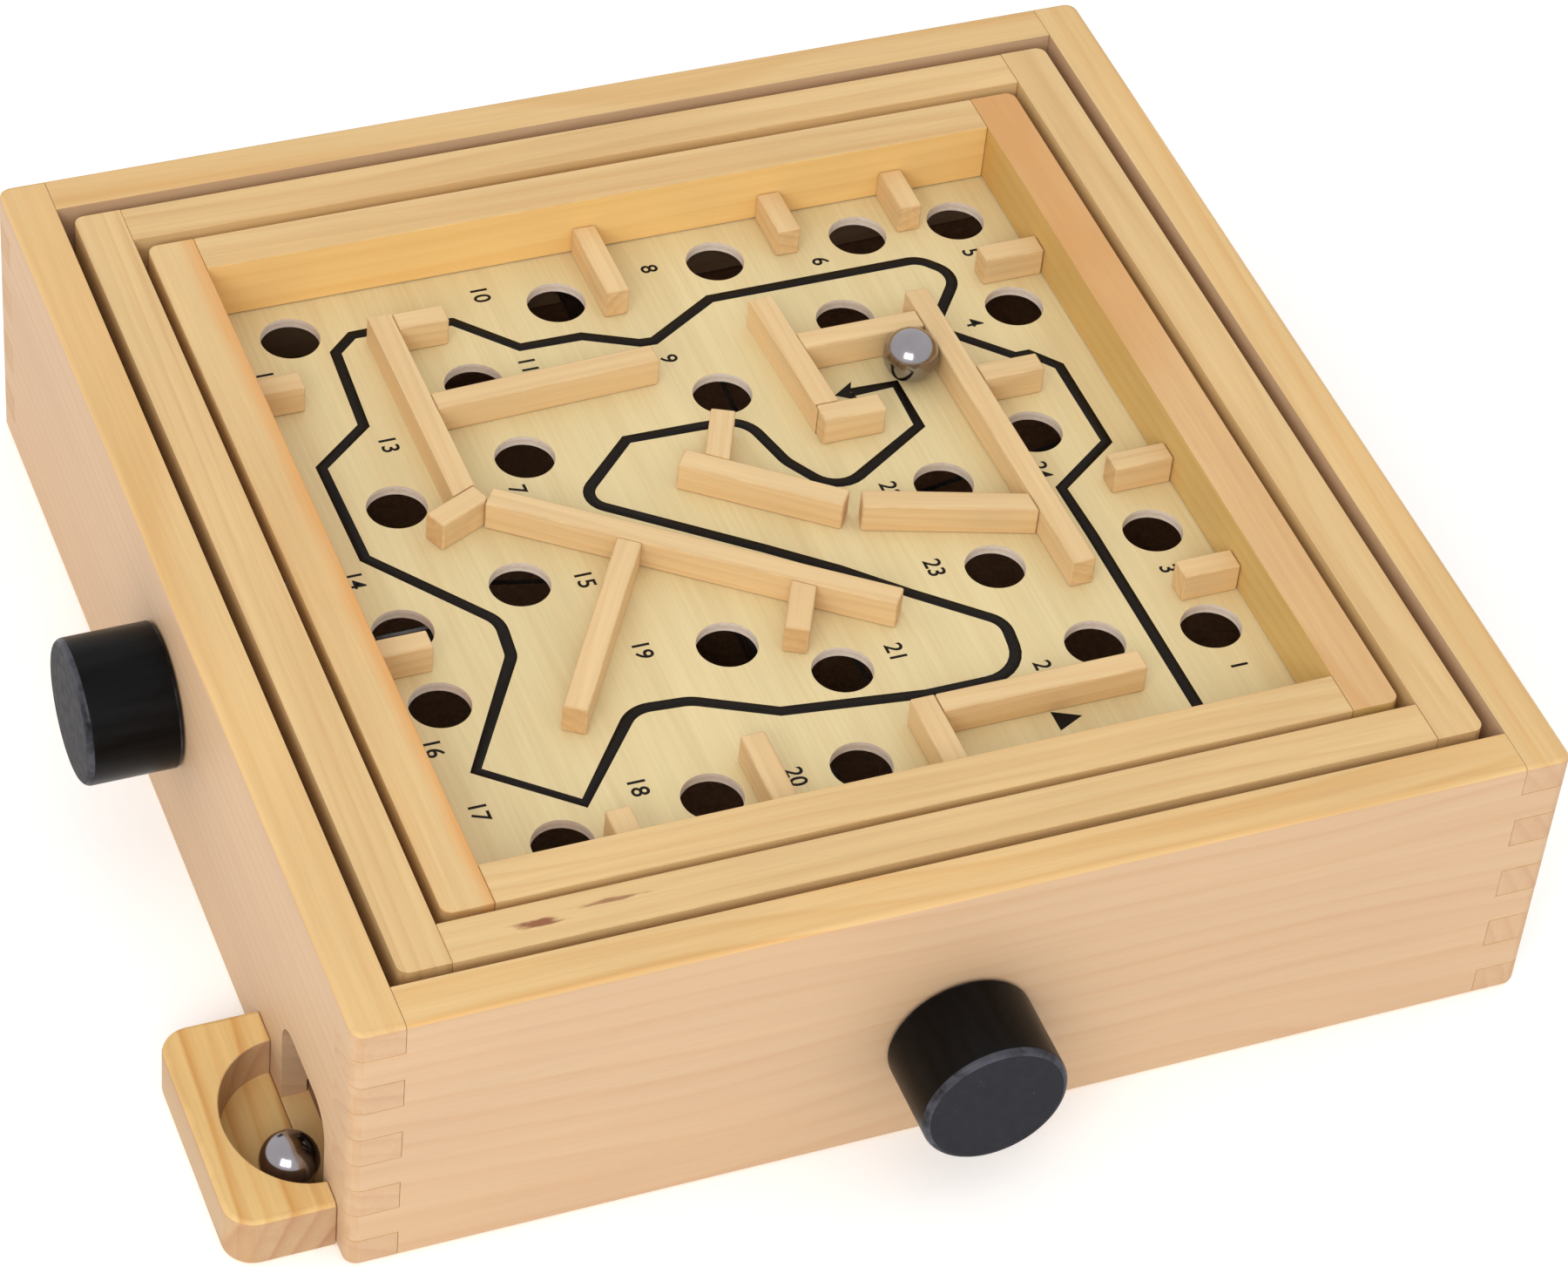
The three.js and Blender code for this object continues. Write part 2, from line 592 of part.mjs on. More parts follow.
function knob() {
  const radius = KNOB_DIAMETER / 2;
  const bore = shaftRadius + KNOB_FIT;
  const profile = [[0, KNOB_BORE_DEPTH], [bore, KNOB_BORE_DEPTH], [bore, 0], [radius - 0.5, 0],
    [radius, 0.5]];
  const arcSteps = 4;
  for (let k = 0; k <= arcSteps; k += 1) {
    const angle = k / arcSteps * Math.PI / 2;
    profile.push([radius - KNOB_EDGE * (1 - Math.cos(angle)),
      KNOB_LENGTH - KNOB_EDGE * (1 - Math.sin(angle))]);
  }
  profile.push([0, KNOB_LENGTH]);
  return lathe(profile, 40);
}

const collarStart = -inside + COLLAR_GAP;

// Drawn along +Y from the knob end to the far end, with its collar just inside the near wall.
function shaft() {
  const [from, to] = [-half - KNOB_GAP - KNOB_BORE_DEPTH + KNOB_END_GAP, inside + SHAFT_BITE];
  const wide = COLLAR_DIAMETER / 2;
  return lathe([
    [0, from], [shaftRadius, from],
    [shaftRadius, collarStart], [wide, collarStart],
    [wide, collarStart + COLLAR_WIDTH], [shaftRadius, collarStart + COLLAR_WIDTH],
    [shaftRadius, to], [0, to],
  ], 16);
}

// The front shaft lies along Y. A quarter turn lays the same pieces along X for the side shaft.
const shafts = [
  ['front', 0, FRONT_SHAFT_X, 0, frontShaftZ],
  ['side', -Math.PI / 2, 0, SIDE_SHAFT_Y, sideShaftZ],
];
for (const [name, turn, x, y, z] of shafts) {
  const knobPiece = knob();
  knobPiece.rotateX(Math.PI);
  knobPiece.translate(0, -half - KNOB_GAP, 0);
  for (const [part, geometry, material] of [['shaft', shaft(), STEEL], ['knob', knobPiece, BLACK_PAINT]]) {
    geometry.rotateZ(turn);
    geometry.translate(x, y, z);
    add(`${name}_${part}`, geometry, material);
  }
}

// ---- Cords, springs and hooks -----------------------------------------------------------------

// Everything here is drawn from the shaft's axis: u runs across it, w is up, and s runs along it.
function cordSet(name, anchor, shaftU, railBottom, shaftZ, toWorld) {
  const cordRadius = CORD_DIAMETER / 2;
  const windRadius = shaftRadius + CORD_LIFT + cordRadius;
  const start = { u: -anchor - shaftU, w: railBottom - CORD_DIAMETER };
  const eye = { u: anchor - shaftU, w: railBottom - HOOK_DROP };

  // Slope of the line from a point at the right of the shaft to the underside of the winding.
  const slopeTo = (u, w) => {
    const distance = Math.hypot(u, w - shaftZ);
    return Math.atan2(w - shaftZ, u) + Math.asin(windRadius / distance);
  };
  const slopeIn = slopeTo(-start.u, start.w);
  const slopeOut = slopeTo(eye.u, eye.w);
  const ride = (angle) => ({ u: windRadius * Math.cos(angle), w: shaftZ + windRadius * Math.sin(angle) });

  const route = [];
  const push = (u, w, s) => route.push(toWorld(u, w, s));
  push(start.u, railBottom + CORD_HOLE_DEPTH, plainEnd);
  push(start.u, railBottom + CORD_HOLE_DEPTH / 2, plainEnd);
  push(start.u, railBottom, plainEnd);
  push(start.u, railBottom - CORD_DIAMETER / 2, plainEnd);

  const first = -Math.PI / 2 - slopeIn;
  const last = -Math.PI / 2 + slopeOut + 2 * Math.PI * CORD_TURNS;
  const touchIn = ride(first);
  const runSteps = 7;
  for (let k = 0; k < runSteps; k += 1) {
    const t = (k + 0.35) / (runSteps + 0.35);
    push(start.u + t * (touchIn.u - start.u), start.w + t * (touchIn.w - start.w), plainEnd);
  }
  const windSteps = CORD_TURNS * 12;
  for (let k = 0; k <= windSteps; k += 1) {
    const point = ride(first + k / windSteps * (last - first));
    push(point.u, point.w, plainEnd + k / windSteps * windingSpan);
  }
  const touchOut = ride(last);
  const full = Math.hypot(eye.u - touchOut.u, eye.w - touchOut.w);
  const springFar = full - HOOK_EYE_RADIUS - HOOK_WIRE;
  const springNear = springFar - SPRING_LENGTH;
  const along = (d) => [touchOut.u + d / full * (eye.u - touchOut.u),
    touchOut.w + d / full * (eye.w - touchOut.w)];
  for (let k = 1; k <= runSteps; k += 1) push(...along(k / runSteps * (springNear - 0.5)), sprungEnd);
  add(`${name}_cord`, tube(route, cordRadius, 8), CORD_NYLON);

  // The spring lies on the cord's line, with a short straight tail at each end.
  const coil = [];
  const tail = 1.5;
  const up = new THREE.Vector2(-Math.sin(slopeOut), Math.cos(slopeOut));
  const coilPoint = (d, radius, angle) => {
    const [u, w] = along(d);
    const lift = radius * Math.cos(angle);
    coil.push(toWorld(u + lift * up.x, w + lift * up.y, sprungEnd + radius * Math.sin(angle)));
  };
  coilPoint(springNear, 0, 0);
  coilPoint(springNear + tail / 2, 0, 0);
  const coilSteps = SPRING_TURNS * 8;
  for (let k = 0; k <= coilSteps; k += 1) {
    const d = springNear + tail + k / coilSteps * (SPRING_LENGTH - 2 * tail);
    coilPoint(d, SPRING_RADIUS, k / 8 * 2 * Math.PI);
  }
  coilPoint(springFar - tail / 2, 0, 0);
  coilPoint(springFar, 0, 0);
  add(`${name}_spring`, tube(coil, SPRING_WIRE / 2, 6), STEEL);

  // A screw hook: its shank goes up into the rail and its eye hangs below.
  const hook = [];
  hook.push(toWorld(eye.u, railBottom + HOOK_BITE, sprungEnd));
  hook.push(toWorld(eye.u, railBottom + HOOK_BITE / 2, sprungEnd));
  hook.push(toWorld(eye.u, railBottom, sprungEnd));
  const eyeSteps = 14;
  const opening = 0.35;
  for (let k = 0; k <= eyeSteps; k += 1) {
    const angle = Math.PI / 2 + k / eyeSteps * (2 * Math.PI - opening - HOOK_WIRE / HOOK_EYE_RADIUS);
    hook.push(toWorld(eye.u + HOOK_EYE_RADIUS * Math.cos(angle),
      eye.w + HOOK_EYE_RADIUS * Math.sin(angle), sprungEnd));
  }
  add(`${name}_hook`, tube(hook, HOOK_WIRE / 2, 8), STEEL);
}

cordSet('inner', innerAnchor, SIDE_SHAFT_Y, innerBottom, sideShaftZ,
  (u, w, s) => new THREE.Vector3(s, u + SIDE_SHAFT_Y, w));
cordSet('outer', outerAnchor, FRONT_SHAFT_X, outerBottom, frontShaftZ,
  (u, w, s) => new THREE.Vector3(u + FRONT_SHAFT_X, s, w));

export default model;
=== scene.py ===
"""A wooden tilt maze: oiled pine box and gimbal frames, a printed board with bars, polished balls."""

import json
import math
import zlib

import bmesh
import bpy
import numpy as np
from mathutils import Matrix, Vector

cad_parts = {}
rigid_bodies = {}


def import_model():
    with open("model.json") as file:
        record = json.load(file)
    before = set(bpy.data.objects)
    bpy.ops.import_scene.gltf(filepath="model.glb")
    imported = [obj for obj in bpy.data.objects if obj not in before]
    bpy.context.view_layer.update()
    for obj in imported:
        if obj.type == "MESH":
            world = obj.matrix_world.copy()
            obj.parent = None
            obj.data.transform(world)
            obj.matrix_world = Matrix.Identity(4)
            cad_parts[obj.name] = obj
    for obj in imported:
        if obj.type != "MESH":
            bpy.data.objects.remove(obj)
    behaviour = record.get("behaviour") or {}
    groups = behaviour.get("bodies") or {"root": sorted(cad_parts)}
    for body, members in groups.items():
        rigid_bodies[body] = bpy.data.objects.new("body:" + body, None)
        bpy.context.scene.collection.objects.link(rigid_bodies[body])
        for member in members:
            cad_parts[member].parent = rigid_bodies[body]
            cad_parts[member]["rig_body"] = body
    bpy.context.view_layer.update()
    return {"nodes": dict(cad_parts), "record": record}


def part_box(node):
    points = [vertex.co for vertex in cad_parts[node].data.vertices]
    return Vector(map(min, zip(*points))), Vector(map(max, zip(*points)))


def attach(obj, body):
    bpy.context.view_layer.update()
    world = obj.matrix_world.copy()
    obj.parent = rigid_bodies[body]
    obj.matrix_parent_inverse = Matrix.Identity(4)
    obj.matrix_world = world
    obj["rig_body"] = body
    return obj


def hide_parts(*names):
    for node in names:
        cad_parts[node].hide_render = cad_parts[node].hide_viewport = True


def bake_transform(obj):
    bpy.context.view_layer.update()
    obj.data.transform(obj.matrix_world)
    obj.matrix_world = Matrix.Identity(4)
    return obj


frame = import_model()
nodes = frame["nodes"]
body_of_node = {n: o["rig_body"] for n, o in nodes.items()}
slot_of_node = {s["node"]: s["material_slot"] for s in frame["record"]["subparts"]}

MM = 0.001

# ---- Shader building --------------------------------------------------------------------------


def put(tree, kind, inputs=None, **settings):
    """Adds a node, applies its settings, and fills its inputs with values or links."""
    made = tree.nodes.new(kind)
    for name, value in settings.items():
        setattr(made, name, value)
    for name, value in (inputs or {}).items():
        socket = made.inputs[name]
        if isinstance(value, bpy.types.NodeSocket):
            tree.links.new(value, socket)
        else:
            socket.default_value = value
    return made


def maths(tree, operation, *values, clamp=False):
    """A math node's result."""
    return put(tree, "ShaderNodeMath", dict(enumerate(values)), operation=operation,
               use_clamp=clamp).outputs[0]


# The mix node has a set of sockets for each kind of value. These are the colour ones.
COLOR_FACTOR, COLOR_A, COLOR_B = 0, 6, 7
COLOR_RESULT = 2


def blend_colors(tree, factor, first, second, mode="MIX"):
    """A colour mix of two colours or links."""
    inputs = {COLOR_FACTOR: factor, COLOR_A: first, COLOR_B: second}
    return put(tree, "ShaderNodeMix", inputs, data_type="RGBA", blend_type=mode).outputs[COLOR_RESULT]


def hypotenuse(tree, first, second):
    """The distance that two offsets at right angles make."""
    squares = [maths(tree, "MULTIPLY", side, side) for side in (first, second)]
    return maths(tree, "SQRT", maths(tree, "ADD", *squares))


def spread(tree, value, low, high, to_low=0.0, to_high=1.0, smooth=False):
    """The value taken from one range to another, held at its ends."""
    kind = "SMOOTHSTEP" if smooth else "LINEAR"
    inputs = {"Value": value, "From Min": low, "From Max": high, "To Min": to_low, "To Max": to_high}
    return put(tree, "ShaderNodeMapRange", inputs, interpolation_type=kind).outputs["Result"]


def stretched(tree, position, *scale):
    """The position scaled along each of its axes."""
    return put(tree, "ShaderNodeVectorMath", {0: position, 1: scale}, operation="MULTIPLY").outputs[0]


def vector(tree, x, y, z):
    """A vector, or a grey where the three are the same."""
    return put(tree, "ShaderNodeCombineXYZ", {0: x, 1: y, 2: z}).outputs[0]


def on_piece(tree):
    """Where each point of the piece lies, in metres."""
    return put(tree, "ShaderNodeTexCoord").outputs["Object"]


def noise(tree, position, detail=2.0, roughness=0.5, distortion=0.0):
    """Noise between 0 and 1 with one feature per unit of position."""
    inputs = {"Vector": position, "Scale": 1.0, "Detail": detail, "Roughness": roughness,
              "Distortion": distortion}
    return put(tree, "ShaderNodeTexNoise", inputs, noise_dimensions="3D").outputs["Fac"]


def paint(hex_code):
    """A linear colour from an sRGB one."""
    parts = [int(hex_code[i:i + 2], 16) / 255 for i in (0, 2, 4)]
    return tuple(c / 12.92 if c <= 0.04045 else ((c + 0.055) / 1.055) ** 2.4 for c in parts) + (1.0,)


SOCKET_KINDS = {"color": "NodeSocketColor", "vector": "NodeSocketVector", "value": "NodeSocketFloat"}


def shader_group(name, inputs, outputs):
    """An empty node group with its named inputs and outputs."""
    group = bpy.data.node_groups.new(name, "ShaderNodeTree")
    for socket_name, kind, default in inputs:
        socket = group.interface.new_socket(socket_name, in_out="INPUT", socket_type=SOCKET_KINDS[kind])
        if default is not None:
            socket.default_value = default
    for socket_name, kind in outputs:
        group.interface.new_socket(socket_name, in_out="OUTPUT", socket_type=SOCKET_KINDS[kind])
    return group, group.nodes.new("NodeGroupInput").outputs, group.nodes.new("NodeGroupOutput").inputs


def effect(tree, group, **inputs):
    """The outputs of a node group placed in a material. Underscores in input names are spaces."""
    named = {name.replace("_", " "): value for name, value in inputs.items()}
    return put(tree, "ShaderNodeGroup", named, node_tree=group).outputs


# Features per metre along the grain and across it.
WANDER_SCALE = (9, 28, 28)
FIBRE_SCALE = (45, 1500, 1500)
BAND_SCALE = (7, 260, 260)
PATCH_SCALE = (14, 40, 40)
PORE_SCALE = (900, 900, 900)
RING_WANDER = 9 * MM           # how far the rings stray from true circles
HEART_LEAN = 0.035             # how the heart drifts sideways along the piece
LATE_WOOD_REACHED = 0.82       # share of a year at which the late wood is darkest
LATE_WOOD_LEFT = 0.86          # share of a year from which it fades into the next early wood
LATE_WOOD_SHARPNESS = 2.6
YEAR_STEP = 0.7                # how unlike one year is to the next
STREAK_STRENGTH = 0.28
END_GRAIN_TONE = (0.95, 0.91, 0.86, 1.0)
END_RING_TONE, END_RING_STRENGTH = (0.30, 0.16, 0.08, 1.0), 0.14
PORE_TONE, PORE_STRENGTH = (0.25, 0.14, 0.08, 1.0), 0.10
END_GRAIN_DRYNESS = 0.15       # added roughness


def make_wood_grain():
    """Sawn softwood: growth rings round a heart that lies off the piece, fibres, and end grain."""
    group, given, result = shader_group(
        "wood_grain",
        [("Position", "vector", None), ("Early wood", "color", None), ("Late wood", "color", None),
         ("Ring spacing", "value", 2.6 * MM), ("Heart distance", "value", 55 * MM),
         ("Ring strength", "value", 0.5), ("End grain", "value", 0.0)],
        [("Color", "color"), ("Roughness", "value"), ("Height", "value")])
    position = given["Position"]
    split = put(group, "ShaderNodeSeparateXYZ", {0: position}).outputs
    wander = noise(group, stretched(group, position, *WANDER_SCALE), detail=1.0)
    drift = maths(group, "MULTIPLY_ADD", wander, RING_WANDER, -RING_WANDER / 2)
    lean = maths(group, "MULTIPLY_ADD", split[0], HEART_LEAN, split[1])
    across = maths(group, "ADD", lean, drift)
    depth = maths(group, "ADD", maths(group, "ADD", split[2], given["Heart distance"]), drift)
    year = maths(group, "DIVIDE", hypotenuse(group, across, depth), given["Ring spacing"])
    season = maths(group, "FRACT", year)
    rise = maths(group, "POWER", spread(group, season, 0.0, LATE_WOOD_REACHED), LATE_WOOD_SHARPNESS)
    late = maths(group, "MULTIPLY", rise, spread(group, season, 1.0, LATE_WOOD_LEFT))
    this_year = vector(group, maths(group, "FLOOR", year), 0.0, 0.0)
    uneven = noise(group, stretched(group, this_year, YEAR_STEP, 1, 1), detail=0.0)
    rings = maths(group, "MULTIPLY", late, spread(group, uneven, 0.3, 0.7, 0.35, 1.0))
    fibres = noise(group, stretched(group, position, *FIBRE_SCALE), detail=3.0, roughness=0.6)
    bands = noise(group, stretched(group, position, *BAND_SCALE), detail=2.0)
    patches = noise(group, stretched(group, position, *PATCH_SCALE), detail=2.0)

    strength = maths(group, "MULTIPLY", rings, given["Ring strength"], clamp=True)
    side = blend_colors(group, strength, given["Early wood"], given["Late wood"])
    streaks = maths(group, "MULTIPLY", spread(group, bands, 0.42, 0.72), STREAK_STRENGTH)
    side = blend_colors(group, streaks, side, given["Late wood"])
    light = maths(group, "ADD", spread(group, fibres, 0.25, 0.75, 0.93, 1.05),
                  spread(group, patches, 0.3, 0.7, -0.05, 0.04))
    side = blend_colors(group, 1.0, side, vector(group, light, light, light), "MULTIPLY")

    pores = noise(group, stretched(group, position, *PORE_SCALE), detail=2.0)
    end = blend_colors(group, 1.0, side, END_GRAIN_TONE, "MULTIPLY")
    end = blend_colors(group, maths(group, "MULTIPLY", rings, END_RING_STRENGTH), end, END_RING_TONE)
    end = blend_colors(group, spread(group, pores, 0.55, 0.75, 0.0, PORE_STRENGTH), end, PORE_TONE)
    color = blend_colors(group, given["End grain"], side, end)
    rough = maths(group, "ADD", spread(group, fibres, 0.2, 0.8, 0.50, 0.62),
                  maths(group, "MULTIPLY", given["End grain"], END_GRAIN_DRYNESS))
    height = maths(group, "ADD", maths(group, "MULTIPLY", fibres, 0.6),
                   maths(group, "MULTIPLY", late, 0.4))
    for name, value in (("Color", color), ("Roughness", rough), ("Height", height)):
        group.links.new(value, result[name])
    return group


def make_edge_wear():
    """A broken mask along the rounded edges, for handling wear on the wood and for the painted
    highlight on the knobs' rims.
    """
    group, given, result = shader_group(
        "edge_wear_and_painted_highlight", [("Position", "vector", None), ("Edge", "value", 0.0), ("Amount", "value", 0.5)],
        [("Mask", "value")])
    patches = noise(group, stretched(group, given["Position"], 120, 120, 120), detail=4.0,
                    roughness=0.65)
    broken = spread(group, patches, 0.35, 0.65, smooth=True)
    mask = maths(group, "MULTIPLY", maths(group, "MULTIPLY", given["Edge"], broken), given["Amount"])
    group.links.new(mask, result["Mask"])
    return group


MARK_RAGGEDNESS = 0.35         # as a share of the mark's size


def make_dark_mark():
    """A small knot or pitch streak, drawn out along the grain."""
    group, given, result = shader_group(
        "dark_mark",
        [("Position", "vector", None), ("Centre", "vector", None), ("Length", "value", 6 * MM),
         ("Width", "value", 1.4 * MM)],
        [("Mask", "value")])
    offset = put(group, "ShaderNodeVectorMath", {0: given["Position"], 1: given["Centre"]},
                 operation="SUBTRACT").outputs[0]
    ripple = noise(group, stretched(group, given["Position"], 220, 900, 900), detail=3.0)
    split = put(group, "ShaderNodeSeparateXYZ", {0: offset}).outputs
    along = maths(group, "DIVIDE", split[0], given["Length"])
    across = maths(group, "DIVIDE", split[1], given["Width"])
    ragged = maths(group, "ADD", hypotenuse(group, along, across),
                   spread(group, ripple, 0.3, 0.7, -MARK_RAGGEDNESS, MARK_RAGGEDNESS))
    group.links.new(spread(group, ragged, 0.95, 0.35, smooth=True), result["Mask"])
    return group


WOOD_GRAIN = make_wood_grain()
EDGE_WEAR_AND_HIGHLIGHT = make_edge_wear()
DARK_MARK = make_dark_mark()


def new_material(name):
    """A material with only its shader and output, and the shader node."""
    material = bpy.data.materials.new(name)
    material.use_nodes = True
    tree = material.node_tree
    tree.nodes.clear()
    shader = put(tree, "ShaderNodeBsdfPrincipled")
    tree.links.new(shader.outputs[0], put(tree, "ShaderNodeOutputMaterial").inputs["Surface"])
    return material, tree, shader


def stored(tree, name, output="Vector"):
    """What a piece has stored on its surface under this name."""
    return put(tree, "ShaderNodeAttribute", attribute_name=name).outputs[output]


def bump(tree, shader, height, depth, strength=1.0):
    """Raises and lowers the surface by a height between 0 and 1 times the depth."""
    made = put(tree, "ShaderNodeBump", {"Height": height, "Distance": depth, "Strength": strength})
    tree.links.new(made.outputs[0], shader.inputs["Normal"])


KNOT_BROWN = paint("84482c")
HANDLED_WOOD, HANDLED_WOOD_COVER = paint("b68a58"), 0.3
STAIN_RAGGEDNESS = 1.2         # as a share of the way over which the stain comes in
STAIN_COVER, STAIN_DEPTH = 0.75, 0.7


def wood(name, early, late, ring_strength, spacing=2.6 * MM, heart=55 * MM, painted_side_light=None, stain=None,
         marks=()):
    """Oiled wood that follows the piece's own grain direction. The side tone is a tone and how far it
    covers the standing faces: painted light and shade on the sides. `stain` is a tone that comes in
    along an axis between two places. Each mark is a centre, a length, a width and a strength."""
    material, tree, shader = new_material(name)
    position = stored(tree, "grain_position")
    grain = effect(tree, WOOD_GRAIN, Position=position, Early_wood=paint(early), Late_wood=paint(late),
                   Ring_spacing=spacing, Heart_distance=heart, Ring_strength=ring_strength,
                   End_grain=stored(tree, "end_grain", "Fac"))
    color = grain["Color"]
    place = on_piece(tree)
    if stain:
        tone, axis, start, full = stain
        along = put(tree, "ShaderNodeSeparateXYZ", {0: place}).outputs[axis]
        patches = noise(tree, stretched(tree, place, 60, 25, 25), detail=3.0)
        reach = maths(tree, "MULTIPLY_ADD", patches, STAIN_RAGGEDNESS, -STAIN_RAGGEDNESS / 2)
        cover = maths(tree, "ADD", spread(tree, along, start, full), reach)
        cover = maths(tree, "MULTIPLY", spread(tree, cover, 0.0, 1.0, smooth=True), STAIN_COVER)
        color = blend_colors(tree, cover, color, blend_colors(tree, STAIN_DEPTH, color, paint(tone)))
    # Painted light and shade: the standing faces are tinted apart from the tops.
    if painted_side_light:
        tone, cover = painted_side_light
        painted_side_cover = maths(tree, "MULTIPLY", stored(tree, "upright_face", "Fac"), cover)
        color = blend_colors(tree, painted_side_cover, color, paint(tone))
    for centre, length, width, strength in marks:
        mark = effect(tree, DARK_MARK, Position=place, Centre=centre, Length=length, Width=width)
        cover = maths(tree, "MULTIPLY", mark["Mask"], strength)
        color = blend_colors(tree, cover, color, KNOT_BROWN)
    wear_and_highlight = effect(tree, EDGE_WEAR_AND_HIGHLIGHT, Position=position, Edge=stored(tree, "soft_edge", "Fac"),
                  Amount=HANDLED_WOOD_COVER)
    color = blend_colors(tree, wear_and_highlight["Mask"], color, HANDLED_WOOD)
    tree.links.new(color, shader.inputs["Base Color"])
    tree.links.new(grain["Roughness"], shader.inputs["Roughness"])
    shader.inputs["Specular IOR Level"].default_value = 0.3
    bump(tree, shader, grain["Height"], 0.05 * MM, 0.6)
    return material


def hardboard():
    """Pressed brown board with short fibres."""
    material, tree, shader = new_material("brown_hardboard")
    position = on_piece(tree)
    fibres = noise(tree, stretched(tree, position, 700, 700, 700), detail=4.0, roughness=0.7,
                   distortion=1.5)
    clouds = noise(tree, stretched(tree, position, 40, 40, 40), detail=3.0)
    color = blend_colors(tree, spread(tree, fibres, 0.35, 0.65), paint("6d4b30"), paint("926946"))
    color = blend_colors(tree, spread(tree, clouds, 0.35, 0.7, 0.0, 0.3), color, paint("5b3d27"))
    tree.links.new(color, shader.inputs["Base Color"])
    tree.links.new(spread(tree, fibres, 0.2, 0.8, 0.62, 0.85), shader.inputs["Roughness"])
    bump(tree, shader, fibres, 0.05 * MM)
    return material


def black_paint(name, face):
    """Satin black over turned wood: deep on the side, drier and paler where end grain drinks it,
    and a painted highlight along the rounded rims.
    """
    material, tree, shader = new_material(name)
    position = stored(tree, "grain_position")
    end = stored(tree, "end_grain", "Fac")
    brush = noise(tree, stretched(tree, position, 60, 500, 500), detail=3.0)
    pores = noise(tree, stretched(tree, position, 900, 900, 900), detail=4.0, roughness=0.7)
    clouds = noise(tree, stretched(tree, position, 150, 150, 150), detail=3.0)
    scuffs = noise(tree, stretched(tree, position, 230, 360, 360), detail=5.0, roughness=0.75)
    side = blend_colors(tree, spread(tree, brush, 0.35, 0.7), paint("020203"), paint("0b0b0d"))
    dull = blend_colors(tree, spread(tree, clouds, 0.3, 0.7, 0.0, 0.4), paint(face), paint("1c1c21"))
    dull = blend_colors(tree, spread(tree, pores, 0.6, 0.75, 0.0, 0.3), dull, paint("141418"))
    dull = blend_colors(tree, spread(tree, scuffs, 0.66, 0.72, 0.0, 0.6), dull, paint("74747c"))
    color = blend_colors(tree, end, side, dull)
    # Painted highlight: the rims are lightened to grey where the lamps would shine on them.
    wear_and_highlight = effect(tree, EDGE_WEAR_AND_HIGHLIGHT, Position=position, Edge=stored(tree, "soft_edge", "Fac"),
                  Amount=0.6)
    color = blend_colors(tree, wear_and_highlight["Mask"], color, paint("5a5a62"))
    tree.links.new(color, shader.inputs["Base Color"])
    rough = maths(tree, "ADD", spread(tree, brush, 0.3, 0.7, 0.28, 0.38),
                  maths(tree, "MULTIPLY", end, 0.2))
    tree.links.new(rough, shader.inputs["Roughness"])
    shader.inputs["Specular IOR Level"].default_value = 0.12
    bump(tree, shader, maths(tree, "ADD", pores, brush), 0.03 * MM, 0.5)
    return material


def steel(name, color, roughness, scratch):
    """Bright steel with faint scuffs."""
    material, tree, shader = new_material(name)
    position = on_piece(tree)
    scuffs = noise(tree, stretched(tree, position, 900, 900, 900), detail=5.0, roughness=0.7,
                   distortion=2.0)
    smears = noise(tree, stretched(tree, position, 160, 160, 160), detail=2.0)
    dulled = spread(tree, smears, 0.35, 0.7, 0.0, 0.35)
    tint = blend_colors(tree, dulled, paint(color), paint("77777b"))
    tree.links.new(tint, shader.inputs["Base Color"])
    tree.links.new(spread(tree, scuffs, 0.4, 0.75, roughness, roughness + scratch),
                   shader.inputs["Roughness"])
    shader.inputs["Metallic"].default_value = 1.0
    return material


def ply_edge():
    """The cut edge of the board: thin veneers, light and dark in turn."""
    material, tree, shader = new_material("ply_edge")
    position = on_piece(tree)
    height = put(tree, "ShaderNodeSeparateXYZ", {0: position}).outputs[2]
    low, high = (corner.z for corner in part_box("maze_board"))
    layer = spread(tree, height, low, high, 0.0, 3.0)
    middle = maths(tree, "COMPARE", layer, 1.5, 0.5)
    fuzz = noise(tree, stretched(tree, position, 900, 900, 2500), detail=3.0)
    color = blend_colors(tree, middle, paint("ecdccb"), paint("e2cfbc"))
    color = blend_colors(tree, spread(tree, fuzz, 0.5, 0.75, 0.0, 0.35), color, paint("b79a80"))
    tree.links.new(color, shader.inputs["Base Color"])
    shader.inputs["Roughness"].default_value = 0.75
    bump(tree, shader, fuzz, 0.06 * MM)
    return material


def printed_ink():
    """Black screen-print that lets a little of the grain through."""
    material, tree, shader = new_material("printed_ink")
    position = on_piece(tree)
    specks = noise(tree, stretched(tree, position, 1400, 500, 1400), detail=4.0, roughness=0.75)
    thin = spread(tree, specks, 0.55, 0.75, 0.0, 0.35)
    color = blend_colors(tree, thin, paint("17120e"), paint("3e3124"))
    tree.links.new(color, shader.inputs["Base Color"])
    tree.links.new(spread(tree, specks, 0.3, 0.7, 0.45, 0.6), shader.inputs["Roughness"])
    shader.inputs["Specular IOR Level"].default_value = 0.12
    return material


def braided_cord():
    """Dark braided nylon."""
    material, tree, shader = new_material("braided_cord")
    position = on_piece(tree)
    weave = put(tree, "ShaderNodeTexWave", {"Vector": position, "Scale": 700.0, "Distortion": 1.5},
                bands_direction="DIAGONAL").outputs["Fac"]
    color = blend_colors(tree, weave, paint("16130f"), paint("3a342c"))
    tree.links.new(color, shader.inputs["Base Color"])
    shader.inputs["Roughness"].default_value = 0.8
    bump(tree, shader, weave, 0.08 * MM)
    return material


